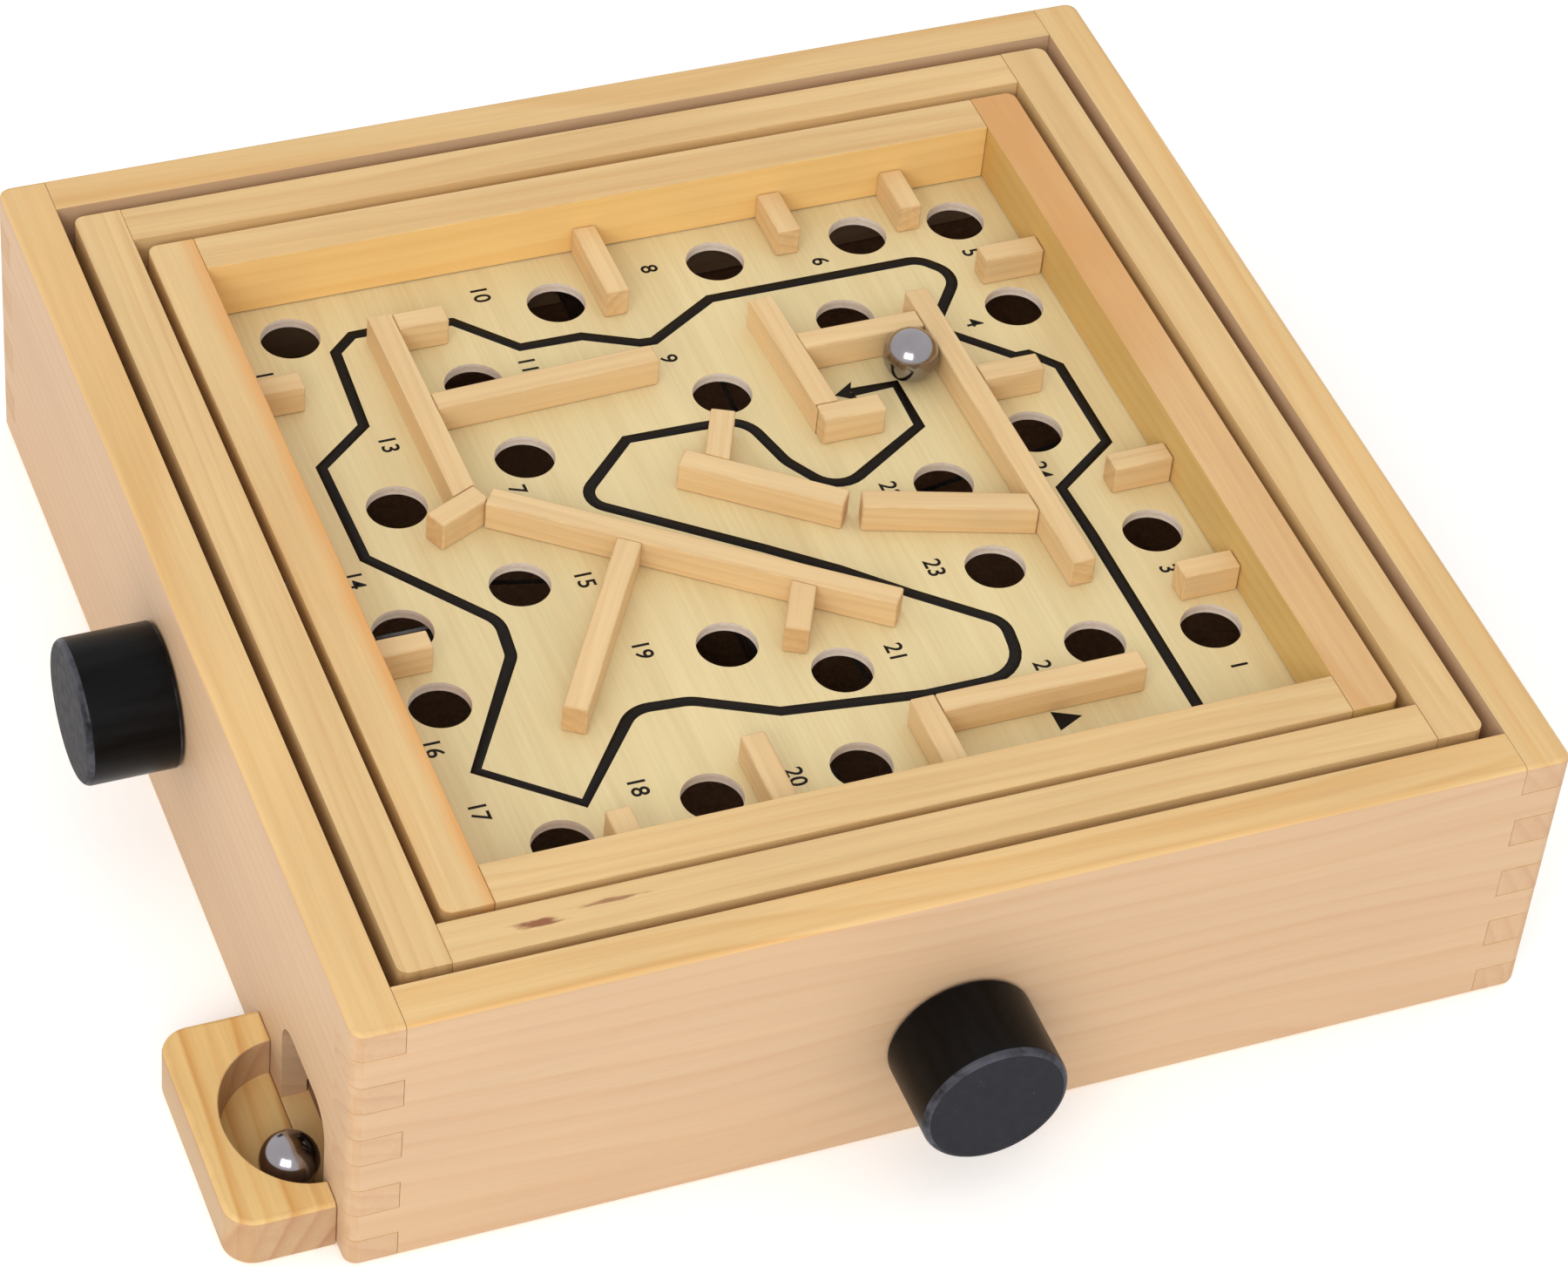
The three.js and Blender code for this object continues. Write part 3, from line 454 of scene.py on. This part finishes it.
MATERIALS = {
    "pine": wood("pine", "dcba84", "c3935a", ring_strength=0.38),
    # The standing-face tone here is painted light and shade on the sides.
    "pine_warm": wood("pine_warm", "e2bf80", "c98a3e", ring_strength=0.75, spacing=4.2 * MM,
                      painted_side_light=("947771", 0.5)),
    "bar_wood": wood("bar_wood", "e0c08e", "cba069", ring_strength=0.35, spacing=2.2 * MM),
    "board_ply": wood("board_ply", "decb9a", "cdb07c", ring_strength=0.12, spacing=9 * MM,
                      heart=20 * MM),
    "hardboard": hardboard(),
    "steel": steel("drawn_steel", "b9bcc1", 0.28, 0.15),
    "ball_steel": steel("polished_steel", "a19ca0", 0.14, 0.08),
    "cord": braided_cord(),
}
# The standing-face tones below are painted light and shade on the sides.
WALL_PINE = wood("wall_pine", "ddb981", "cd9651", ring_strength=0.5, spacing=3.4 * MM, heart=80 * MM,
                 painted_side_light=("b79987", 0.55))
PALE_PINE = wood("pale_pine", "dcba84", "c48f50", ring_strength=0.4, painted_side_light=("ffd27c", 0.45))
LEFT_RAIL_PINE = wood("left_rail_pine", "dcba84", "cb9350", ring_strength=0.5, spacing=4 * MM,
                      stain=("d98b36", 0, -82.6 * MM, -78.0 * MM))
RIGHT_RAIL_PINE = wood("right_rail_pine", "dcb682", "c28646", ring_strength=0.5, spacing=3.2 * MM,
                       painted_side_light=("c9ae5c", 0.5), stain=("c98640", 1, -30 * MM, 80 * MM))
KNOTTED_PINE = wood("knotted_pine", "dcba84", "c3935a", ring_strength=0.35, marks=[
    ((-73.6 * MM, -94.3 * MM, 0), 5.8 * MM, 1.3 * MM, 0.9),
    ((-60.0 * MM, -92.8 * MM, 0), 10.0 * MM, 0.6 * MM, 0.7),
])
OWN_WOOD = {"inner_rail_right": RIGHT_RAIL_PINE, "inner_rail_left": LEFT_RAIL_PINE,
            "inner_rail_back": PALE_PINE, "outer_rail_front": KNOTTED_PINE}
FRONT_KNOB_BLACK = black_paint("front_knob_black", "212127")
SIDE_KNOB_BLACK = black_paint("side_knob_black", "1c1b21")
PLY_EDGE = ply_edge()
INK = printed_ink()

# ---- Pieces -----------------------------------------------------------------------------------


def finished(piece, node):
    """Hangs a finished piece on the body of the CAD node that it stands for."""
    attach(piece, body_of_node[node])
    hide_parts(node)
    return piece


def printed(piece):
    """Hangs a printed piece on the body of the board that it is printed on."""
    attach(piece, body_of_node["maze_board"])


def as_mesh(shape, name):
    """A new mesh from an editable shape, which is let go."""
    mesh = bpy.data.meshes.new(name)
    shape.to_mesh(mesh)
    shape.free()
    return mesh


def baked(piece, name):
    """The piece with its modifiers made real, as a plain mesh on a new object."""
    bpy.context.view_layer.update()
    graph = bpy.context.evaluated_depsgraph_get()
    mesh = bpy.data.meshes.new_from_object(piece.evaluated_get(graph), depsgraph=graph)
    mesh.name = name
    plain = bpy.data.objects.new(name, mesh)
    bpy.context.scene.collection.objects.link(plain)
    bpy.data.objects.remove(piece)
    return plain


def linked(name, mesh, *materials):
    """A new object in the scene for a mesh, or for a curve, light or camera without materials."""
    for material in materials:
        mesh.materials.append(material)
    made = bpy.data.objects.new(name, mesh)
    bpy.context.scene.collection.objects.link(made)
    return made


SHARP_CORNER = math.radians(40)
FLAT_SEAM = math.radians(0.5)
EDGE_SEGMENTS = 2
FLAT_FACE_WEIGHT = 50
MERGE_DISTANCE = 0.001 * MM


def flattened(piece, name):
    """The piece baked, and shaded so that its flat faces stay flat."""
    weight = piece.modifiers.new("flat_faces", "WEIGHTED_NORMAL")
    weight.weight = FLAT_FACE_WEIGHT
    return baked(piece, name)


def rounded(piece, width, name):
    """The piece with its sharp edges broken, and shaded so that flat faces stay flat."""
    piece.data.shade_smooth()
    bevel = piece.modifiers.new("broken_edges", "BEVEL")
    bevel.width = width
    bevel.segments = EDGE_SEGMENTS
    bevel.limit_method = "ANGLE"
    bevel.angle_limit = SHARP_CORNER
    bevel.use_clamp_overlap = True
    return flattened(piece, name)


def merged_shape(node):
    """An editable copy of a CAD node's mesh, with its loose triangles merged."""
    shape = bmesh.new()
    shape.from_mesh(nodes[node].data)
    bmesh.ops.remove_doubles(shape, verts=shape.verts, dist=MERGE_DISTANCE)
    return shape


def cad_copy(node):
    """A merged copy of a CAD node's mesh with its flat faces joined up."""
    shape = merged_shape(node)
    bmesh.ops.dissolve_limit(shape, angle_limit=FLAT_SEAM, verts=shape.verts, edges=shape.edges)
    return as_mesh(shape, node + "_copy")


def store(mesh, name, kind, domain, values):
    """Keeps values on the mesh under a name that its materials read."""
    attribute = mesh.attributes.new(name, kind, domain)
    attribute.data.foreach_set("vector" if kind == "FLOAT_VECTOR" else "value",
                               np.asarray(values, np.float32).ravel())


LEVEL_FACE = 0.985             # how squarely a flat face looks along one of the three axes
END_FACE = 0.75                # how squarely an end looks along the grain
UPRIGHT_FACE = 0.7             # how little an upright face looks up or down
CUT_EDGE_FACE = 0.5            # the same for the board's cut edges
WIDEST_EDGE_FACE = 60 * MM * MM
STEEPEST_GRAIN = 0.9           # past this the grain stands upright
PLANK_TURN = 0.9               # radians by which a plank may be turned in its log
PLANK_SHIFT = (2.0, 0.012, 0.008)


def face_values(mesh, values):
    """A value for each face, repeated for its corners."""
    counts = np.zeros(len(mesh.polygons), np.int32)
    mesh.polygons.foreach_get("loop_total", counts)
    return np.repeat(np.asarray(values, np.float32), counts)


def lay_grain(piece, along, seed):
    """Stores on the piece where each point lies in its own plank, which faces are end grain, which
    stand upright, and which are rounded edges. Returns how squarely each face looks along the grain."""
    mesh = piece.data
    count = len(mesh.vertices)
    points = np.zeros(count * 3, np.float32)
    mesh.vertices.foreach_get("co", points)
    points = points.reshape(-1, 3)
    along = np.array(Vector(along).normalized())
    up = np.array((0.0, 0.0, 1.0)) if abs(along[2]) < STEEPEST_GRAIN else np.array((0.0, 1.0, 0.0))
    across = np.cross(up, along)
    centre = (points.max(0) + points.min(0)) / 2
    local = (points - centre) @ np.stack([along, across, up]).T
    chance = np.random.default_rng(seed)
    turn = chance.uniform(-PLANK_TURN, PLANK_TURN)
    shift = chance.uniform(-1, 1, 3) * PLANK_SHIFT
    y = local[:, 1] * math.cos(turn) - local[:, 2] * math.sin(turn)
    z = local[:, 1] * math.sin(turn) + local[:, 2] * math.cos(turn)
    store(mesh, "grain_position", "FLOAT_VECTOR", "POINT", np.stack([local[:, 0], y, z], 1) + shift)
    normals = np.zeros(len(mesh.polygons) * 3, np.float32)
    mesh.polygons.foreach_get("normal", normals)
    normals = normals.reshape(-1, 3)
    ends = np.abs(normals @ along) > END_FACE
    uprights = np.abs(normals[:, 2]) < UPRIGHT_FACE
    areas = np.zeros(len(mesh.polygons), np.float32)
    mesh.polygons.foreach_get("area", areas)
    edges = (np.abs(normals).max(1) < LEVEL_FACE) & (areas < WIDEST_EDGE_FACE)
    store(mesh, "end_grain", "FLOAT", "CORNER", face_values(mesh, ends))
    # The standing faces, which the wood tints apart from the tops as painted light and shade.
    store(mesh, "upright_face", "FLOAT", "CORNER", face_values(mesh, uprights))
    store(mesh, "soft_edge", "FLOAT", "CORNER", face_values(mesh, edges))
    return normals @ along


def seed_of(name):
    """A fixed seed for each piece."""
    return zlib.crc32(name.encode())


def plank(node, along, edge, material=None):
    """A wooden piece cut to its CAD shape, with broken edges and grain along its length."""
    source = linked(node + "_source", cad_copy(node))
    piece = rounded(source, edge, node + "_wood")
    piece.data.materials.clear()
    piece.data.materials.append(material or OWN_WOOD.get(node) or MATERIALS[slot_of_node[node]])
    lay_grain(piece, along, seed_of(node))
    return finished(piece, node)


def long_direction(node):
    """The level direction in which a CAD node is longest."""
    points = np.array([v.co for v in nodes[node].data.vertices], float)[:, :2]
    values, vectors = np.linalg.eigh(np.cov((points - points.mean(0)).T))
    x, y = vectors[:, values.argmax()]
    return (x, y, 0.0)


ALONG_X, ALONG_Y = (1, 0, 0), (0, 1, 0)
JOINT_EDGE, RAIL_EDGE, TRAY_EDGE, BAR_EDGE = 0.1 * MM, 0.22 * MM, 0.3 * MM, 0.35 * MM

for side, along in (("left", ALONG_Y), ("right", ALONG_Y), ("front", ALONG_X), ("back", ALONG_X)):
    plank("wall_" + side, along, JOINT_EDGE, WALL_PINE)
    plank("outer_rail_" + side, along, RAIL_EDGE)
    plank("inner_rail_" + side, along, RAIL_EDGE)
plank("ball_tray", ALONG_Y, TRAY_EDGE)
for bar in sorted(n for n in nodes if n.startswith("bar_")):
    plank(bar, long_direction(bar), BAR_EDGE)

board = plank("maze_board", ALONG_Y, JOINT_EDGE)
board.data.materials.append(PLY_EDGE)
for face in board.data.polygons:
    if abs(face.normal.z) < CUT_EDGE_FACE:
        face.material_index = 1

for name in ("base_panel", "return_floor"):
    nodes[name].data.materials[0] = MATERIALS["hardboard"]
for name, material_slot in slot_of_node.items():
    if material_slot == "steel":
        nodes[name].data.materials[0] = MATERIALS["steel"]

# ---- Printed board ----------------------------------------------------------------------------

BOARD_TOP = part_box("maze_board")[1].z
INK_THICKNESS = 0.03 * MM
LINE_WIDTH = 2.25 * MM

# The way through the maze from start to finish, in millimetres: x, y and the bend's radius.
ROUTE = [
    (59.4, -72.6, 0), (58.8, -22.0, 0), (58.3, -8.8, 0), (71.5, 0.6, 0), (71.3, 22.6, 0),
    (67.1, 27.5, 0), (64.4, 27.5, 0), (53.4, 38.2, 0), (53.8, 41.0, 0), (62.6, 52.5, 5),
    (57.0, 58.6, 5), (14.3, 58.6, 0), (0.0, 50.1, 0), (-2.8, 50.3, 0), (-12.7, 55.0, 0),
    (-24.8, 55.2, 0), (-34.7, 65.5, 0), (-49.5, 66.9, 0), (-53.9, 66.9, 0), (-58.3, 63.0, 0),
    (-59.4, 42.4, 0), (-70.2, 33.6, 0), (-69.9, 8.8, 0),
    (-52.0, -13.2, 6), (-52.8, -22.0, 4), (-67.7, -46.8, 0), (-52.3, -59.4, 0), (-36.9, -40.5, 6),
    (-26.4, -41.3, 8), (-12.1, -48.2, 0), (0.0, -49.7, 0), (14.3, -51.5, 0), (33.0, -51.5, 8),
    (34.5, -38.5, 5), (21.1, -27.0, 0), (11.0, -17.6, 0), (0.0, -8.8, 0), (-28.0, 12.5, 4),
    (-14.3, 25.6, 0), (0.0, 25.3, 0), (8.6, 24.8, 6), (12.0, 12.0, 8), (18.5, 1.5, 6), (39.4, 14.3, 0),
    (39.4, 26.4, 0), (30.5, 26.4, 0),
]


BEND_STEPS = 7


def with_bends(route):
    """The route's points, with an arc of its radius in place of each rounded corner."""
    points = [Vector(route[0][:2])]
    for (x0, y0, _), (x1, y1, radius), (x2, y2, _) in zip(route, route[1:], route[2:]):
        corner = Vector((x1, y1))
        back = (Vector((x0, y0)) - corner).normalized()
        ahead = (Vector((x2, y2)) - corner).normalized()
        if not radius:
            points.append(corner)
            continue
        half = back.angle(ahead) / 2
        reach = radius / math.tan(half)
        centre = corner + (back + ahead).normalized() * radius / math.sin(half)
        start, end = corner + back * reach - centre, corner + ahead * reach - centre
        sweep = start.angle_signed(end)
        for k in range(BEND_STEPS + 1):
            turn = Matrix.Rotation(-sweep * k / BEND_STEPS, 2)
            points.append(centre + turn @ start)
    points.append(Vector(route[-1][:2]))
    return points


def ribbon_curve(name, points, height):
    """A poly curve whose radius widens at each corner, so that a strip along it keeps its width."""
    curve = bpy.data.curves.new(name, "CURVE")
    curve.dimensions = "3D"
    spline = curve.splines.new("POLY")
    spline.points.add(len(points) - 1)
    for k, (point, made) in enumerate(zip(points, spline.points)):
        made.co = (point.x * MM, point.y * MM, height, 1.0)
        made.radius = 1.0
        if 0 < k < len(points) - 1:
            bend = (point - points[k - 1]).angle(points[k + 1] - point)
            made.radius = 1.0 / math.cos(bend / 2)
    return linked(name, curve)


def geometry_tree(name, inputs):
    """An empty geometry tree with its named inputs."""
    tree = bpy.data.node_groups.new(name, "GeometryNodeTree")
    tree.interface.new_socket("Geometry", in_out="INPUT", socket_type="NodeSocketGeometry")
    for socket_name, kind, default in inputs:
        socket = tree.interface.new_socket(socket_name, in_out="INPUT", socket_type=kind)
        if default is not None:
            socket.default_value = default
    tree.interface.new_socket("Geometry", in_out="OUTPUT", socket_type="NodeSocketGeometry")
    return tree, tree.nodes.new("NodeGroupInput").outputs, tree.nodes.new("NodeGroupOutput").inputs


def make_printed_strip():
    """A flat strip of ink along each curve."""
    tree, given, result = geometry_tree("printed_strip", [
        ("Line width", "NodeSocketFloat", LINE_WIDTH),
        ("Ink thickness", "NodeSocketFloat", INK_THICKNESS),
        ("Ink", "NodeSocketMaterial", None)])
    section = put(tree, "GeometryNodeCurvePrimitiveQuadrilateral",
                  {"Width": given["Line width"], "Height": given["Ink thickness"]})
    strip = put(tree, "GeometryNodeCurveToMesh",
                {"Curve": given["Geometry"], "Profile Curve": section.outputs[0], "Fill Caps": True})
    real = put(tree, "GeometryNodeRealizeInstances", {0: strip.outputs[0]})
    inked = put(tree, "GeometryNodeSetMaterial",
                {"Geometry": real.outputs[0], "Material": given["Ink"]})
    tree.links.new(inked.outputs[0], result[0])
    return tree


PRINTED_STRIP = make_printed_strip()


def run_tree(piece, tree, name, **values):
    """The piece with a geometry tree applied, as a plain mesh."""
    modifier = piece.modifiers.new(tree.name, "NODES")
    modifier.node_group = tree
    for item in tree.interface.items_tree:
        if item.item_type == "SOCKET" and item.in_out == "INPUT" and item.name in values:
            modifier[item.identifier] = values[item.name]
    return baked(piece, name)


INK_MERGE_DISTANCE = 0.0005 * MM


def outward(mesh):
    """Merges a printed mesh and turns its faces outwards."""
    shape = bmesh.new()
    shape.from_mesh(mesh)
    bmesh.ops.remove_doubles(shape, verts=shape.verts, dist=INK_MERGE_DISTANCE)
    bmesh.ops.recalc_face_normals(shape, faces=shape.faces)
    shape.to_mesh(mesh)
    shape.free()


ink_height = BOARD_TOP + INK_THICKNESS / 2
route = run_tree(ribbon_curve("route_path", with_bends(ROUTE), ink_height), PRINTED_STRIP,
                 "printed_route", Ink=INK)
outward(route.data)
printed(route)

# Hole numbers: the number and the middle of its print, in millimetres.
NUMBERS = [
    (1, 70.6, -60.5), (2, 36.6, -50.6), (3, 68.5, -34.1), (4, 60.3, 38.5), (5, 67.6, 57.8),
    (6, 38.5, 63.2), (7, -38.0, 18.4), (8, 6.0, 69.9), (9, 0.8, 44.6), (10, -27.3, 71.5), (11, -25.1, 50.0),
    (12, -72.9, 59.4), (13, -56.7, 36.3), (14, -73.5, 3.9), (15, -34.1, -7.2), (16, -73.2, -39.6),
    (17, -70.4, -56.1), (18, -42.4, -58.3), (19, -30.3, -27.0), (20, -15.4, -63.8), (21, 12.7, -40.2),
    (22, 27.5, -0.6), (23, 27.5, -22.0), (24, 56.4, -3.3),
]
FIGURE_SIZE = 4.6 * MM
FIGURE_WEIGHT = 0.06 * MM
FIGURE_CURVE_STEPS = 4


def printed_number(number, x, y):
    """One number, turned to be read from the left-hand side of the box."""
    text = bpy.data.curves.new(f"figure_{number}", "FONT")
    text.body = str(number)
    text.size = FIGURE_SIZE
    text.align_x = "CENTER"
    text.align_y = "CENTER"
    text.offset = FIGURE_WEIGHT
    text.extrude = INK_THICKNESS / 2
    text.resolution_u = FIGURE_CURVE_STEPS
    plain = baked(linked(text.name, text), f"number_{number:02d}")
    place = Matrix.Translation((x * MM, y * MM, ink_height))
    plain.data.transform(place @ Matrix.Rotation(-math.pi / 2, 4, "Z"))
    plain.data.materials.clear()
    plain.data.materials.append(INK)
    outward(plain.data)
    return plain


def joined(pieces, name):
    """Several plain pieces made into one."""
    shape = bmesh.new()
    for piece in pieces:
        shape.from_mesh(piece.data)
        bpy.data.objects.remove(piece)
    return linked(name, as_mesh(shape, name), INK)


def flat_shape(name, outline):
    """A flat printed shape from its outline in millimetres."""
    shape = bmesh.new()
    low, high = ink_height - INK_THICKNESS / 2, ink_height + INK_THICKNESS / 2
    rings = [[shape.verts.new((x * MM, y * MM, z)) for x, y in outline] for z in (low, high)]
    shape.faces.new(rings[0])
    shape.faces.new(rings[1])
    for k in range(len(outline)):
        n = (k + 1) % len(outline)
        shape.faces.new((rings[0][k], rings[0][n], rings[1][n], rings[1][k]))
    bmesh.ops.recalc_face_normals(shape, faces=shape.faces)
    return linked(name, as_mesh(shape, name), INK)


printed(joined([printed_number(*row) for row in NUMBERS], "printed_numbers"))

# The arrow head at the finish, and a plain triangle that marks the start.
arrow = flat_shape("arrow_head", [(27.2, 26.4), (31.6, 29.2), (30.4, 26.4), (31.6, 23.6)])
start_mark = flat_shape("start_triangle", [(33.5, -66.6), (33.5, -61.8), (38.6, -64.2)])
printed(joined([arrow, start_mark], "printed_marks"))

# ---- Turned knobs and balls -------------------------------------------------------------------


TURNED_SEGMENTS = 96


def turned(name, profile, place, direction):
    """A closed turned piece: each profile point is a radius and a distance along the direction."""
    shape = bmesh.new()
    axis = Vector(direction).normalized()
    side = axis.cross(Vector((0, 0, 1))).normalized()
    up = side.cross(axis)
    rings = []
    for radius, distance in profile:
        middle = Vector(place) + axis * distance
        if radius == 0:
            rings.append([shape.verts.new(middle)])
            continue
        rings.append([shape.verts.new(middle + radius * (math.cos(a) * side + math.sin(a) * up))
                      for a in (2 * math.pi * k / TURNED_SEGMENTS for k in range(TURNED_SEGMENTS))])
    for first, second in zip(rings, rings[1:]):
        for k in range(TURNED_SEGMENTS):
            n = (k + 1) % TURNED_SEGMENTS
            corners = [first[k % len(first)], first[n % len(first)], second[n % len(second)],
                       second[k % len(second)]]
            shape.faces.new(list(dict.fromkeys(corners)))
    bmesh.ops.recalc_face_normals(shape, faces=shape.faces)
    return linked(name, as_mesh(shape, name))


def arc(radius_at, distance_at, radius, start, end, steps):
    """Profile points round a quarter or so of a circle."""
    angles = [math.radians(start + (end - start) * k / steps) for k in range(steps + 1)]
    return [(radius_at + radius * math.cos(a), distance_at + radius * math.sin(a)) for a in angles]


KNOB_EDGE, KNOB_FOOT = 1.4 * MM, 0.5 * MM
BORE_RADIUS, BORE_DEPTH = 2.6 * MM, 12 * MM
RIM_LEAST, RIM_MOST = 0.15, 0.97      # how squarely the rims with the painted highlight look along the knob's axis


def knob(node, direction, black):
    """A turned knob with an eased front edge and a blind bore for its shaft."""
    low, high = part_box(node)
    centre = (low + high) / 2
    axis = Vector(direction)
    length = abs((high - low).dot(axis))
    radius = (high.z - low.z) / 2
    foot = centre - axis * length / 2
    profile = [(0, BORE_DEPTH), (BORE_RADIUS, BORE_DEPTH), (BORE_RADIUS, 0), (radius - KNOB_FOOT, 0)]
    profile += arc(radius - KNOB_FOOT, KNOB_FOOT, KNOB_FOOT, -60, 0, 3)
    profile += arc(radius - KNOB_EDGE, length - KNOB_EDGE, KNOB_EDGE, 0, 90, 7)
    profile += [(0, length)]
    piece = turned(node + "_turned", profile, foot, direction)
    piece.data.shade_smooth()
    piece = flattened(piece, node + "_turned")
    piece.data.materials.append(black)
    facing = np.abs(lay_grain(piece, direction, seed_of(node)))
    # The rims, which the black paint lightens as a painted highlight.
    rims = (facing > RIM_LEAST) & (facing < RIM_MOST)
    piece.data.attributes.remove(piece.data.attributes["soft_edge"])
    store(piece.data, "soft_edge", "FLOAT", "CORNER", face_values(piece.data, rims))
    finished(piece, node)


knob("front_knob", (0, -1, 0), FRONT_KNOB_BLACK)
knob("side_knob", (-1, 0, 0), SIDE_KNOB_BLACK)


def polished_ball(node):
    """A smooth ball in the place of the CAD one."""
    low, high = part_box(node)
    shape = bmesh.new()
    bmesh.ops.create_uvsphere(shape, u_segments=64, v_segments=32, radius=(high.z - low.z) / 2)
    bmesh.ops.translate(shape, verts=shape.verts, vec=(low + high) / 2)
    mesh = as_mesh(shape, node + "_polished")
    mesh.shade_smooth()
    finished(linked(node + "_polished", mesh, MATERIALS["ball_steel"]), node)


polished_ball("play_ball")
polished_ball("spare_ball")

# ---- Cords ------------------------------------------------------------------------------------

WINDING_SLACK = 0.65 * MM     # how much the winding is eased off its shaft
WINDING_REACH = 4.5 * MM      # from the shaft's axis past the outside of the winding
SLACK_RUN = 20 * MM           # over which a run of cord takes up the slack


def wound_cord(node, shaft, across):
    """The cord in two runs that meet beside its winding. The runs lie along the `across` axis."""
    shaft_low, shaft_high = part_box(shaft)
    centre = (shaft_low + shaft_high) / 2
    cord_low, cord_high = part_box(node)
    for run, far, side in (("near_run", cord_low, -1), ("far_run", cord_high, 1)):
        shape = merged_shape(node)
        for vert in shape.verts:
            out = Vector((0.0, 0.0, vert.co.z - centre.z))
            out[across] = vert.co[across] - centre[across]
            share = (SLACK_RUN - out.length) / (SLACK_RUN - WINDING_REACH)
            vert.co += out.normalized() * WINDING_SLACK * min(max(share, 0.0), 1.0)
        split = centre.copy()
        split[across] += WINDING_REACH
        normal = Vector((0.0, 0.0, 0.0))
        normal[across] = 1.0
        everything = shape.verts[:] + shape.edges[:] + shape.faces[:]
        bmesh.ops.bisect_plane(shape, geom=everything, plane_co=split, plane_no=normal,
                               clear_outer=side < 0, clear_inner=side > 0)
        bmesh.ops.holes_fill(shape, edges=[edge for edge in shape.edges if edge.is_boundary])
        mesh = as_mesh(shape, f"{node}_{run}")
        mesh.shade_smooth()
        piece = linked(f"{node}_{run}", mesh, MATERIALS["cord"])
        start, end = centre.copy(), centre.copy()
        start[across] = far[across]
        end[across] += side * WINDING_REACH
        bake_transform(piece)
        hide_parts(node)


wound_cord("inner_cord", "side_shaft", across=1)
wound_cord("outer_cord", "front_shaft", across=0)

# ---- Floor, light and camera ------------------------------------------------------------------

WHITE = (1.0, 1.0, 1.0, 1.0)
FLOOR_SIZE = 8.0
FLOOR_DROP = 0.05 * MM
shape = bmesh.new()
bmesh.ops.create_grid(shape, x_segments=1, y_segments=1, size=FLOOR_SIZE / 2)
floor_mesh = as_mesh(shape, "studio_floor")
floor_material, _, floor_shader = new_material("white_paper")
floor_shader.inputs["Base Color"].default_value = (0.98, 0.98, 0.98, 1.0)
floor_shader.inputs["Roughness"].default_value = 0.9
floor_shader.inputs["Emission Color"].default_value = WHITE
floor_shader.inputs["Emission Strength"].default_value = 0.15
studio_floor = linked("studio_floor", floor_mesh, floor_material)
studio_floor.location.z = -FLOOR_DROP


SOFTBOX_PLACES = {"left_softbox": (-1.16, -1.10, 1.05), "right_softbox": (-0.66, -1.46, 1.05)}
SOFTBOX_WIDTH, SOFTBOX_LENGTH = 0.55, 0.8
SOFTBOX_POWER = 7.0
SKY_STRENGTH = 0.92

for name, place in SOFTBOX_PLACES.items():
    light = bpy.data.lights.new(name, "AREA")
    light.shape = "RECTANGLE"
    light.size, light.size_y = SOFTBOX_WIDTH, SOFTBOX_LENGTH
    light.energy = SOFTBOX_POWER
    made = linked(name, light)
    made.location = place
    made.rotation_euler = (-Vector(place)).to_track_quat("-Z", "Y").to_euler()

world = bpy.data.worlds.new("studio")
world.use_nodes = True
sky = world.node_tree
sky.nodes.clear()
backdrop = put(sky, "ShaderNodeBackground", {"Color": WHITE, "Strength": SKY_STRENGTH})
sky.links.new(backdrop.outputs[0], put(sky, "ShaderNodeOutputWorld").inputs["Surface"])
bpy.context.scene.world = world
bpy.context.scene.view_settings.view_transform = "Standard"

CAMERA_PLACE = Vector((-0.28917, -0.62943, 0.68616))
CAMERA_AIM = Vector((-0.00460, -0.03019, 0.0445))
CAMERA_ROLL = math.radians(6.37)
FOCAL_LENGTH, SENSOR_WIDTH = 119.6, 36.0
lens = bpy.data.cameras.new("camera")
lens.lens = FOCAL_LENGTH
lens.sensor_width = SENSOR_WIDTH
lens.clip_start, lens.clip_end = 0.01, 50.0
camera = linked("camera", lens)
look = (CAMERA_AIM - CAMERA_PLACE).to_track_quat("-Z", "Y").to_matrix().to_4x4()
camera.matrix_world = Matrix.Translation(CAMERA_PLACE) @ look @ Matrix.Rotation(CAMERA_ROLL, 4, "Z")
bpy.context.scene.camera = camera
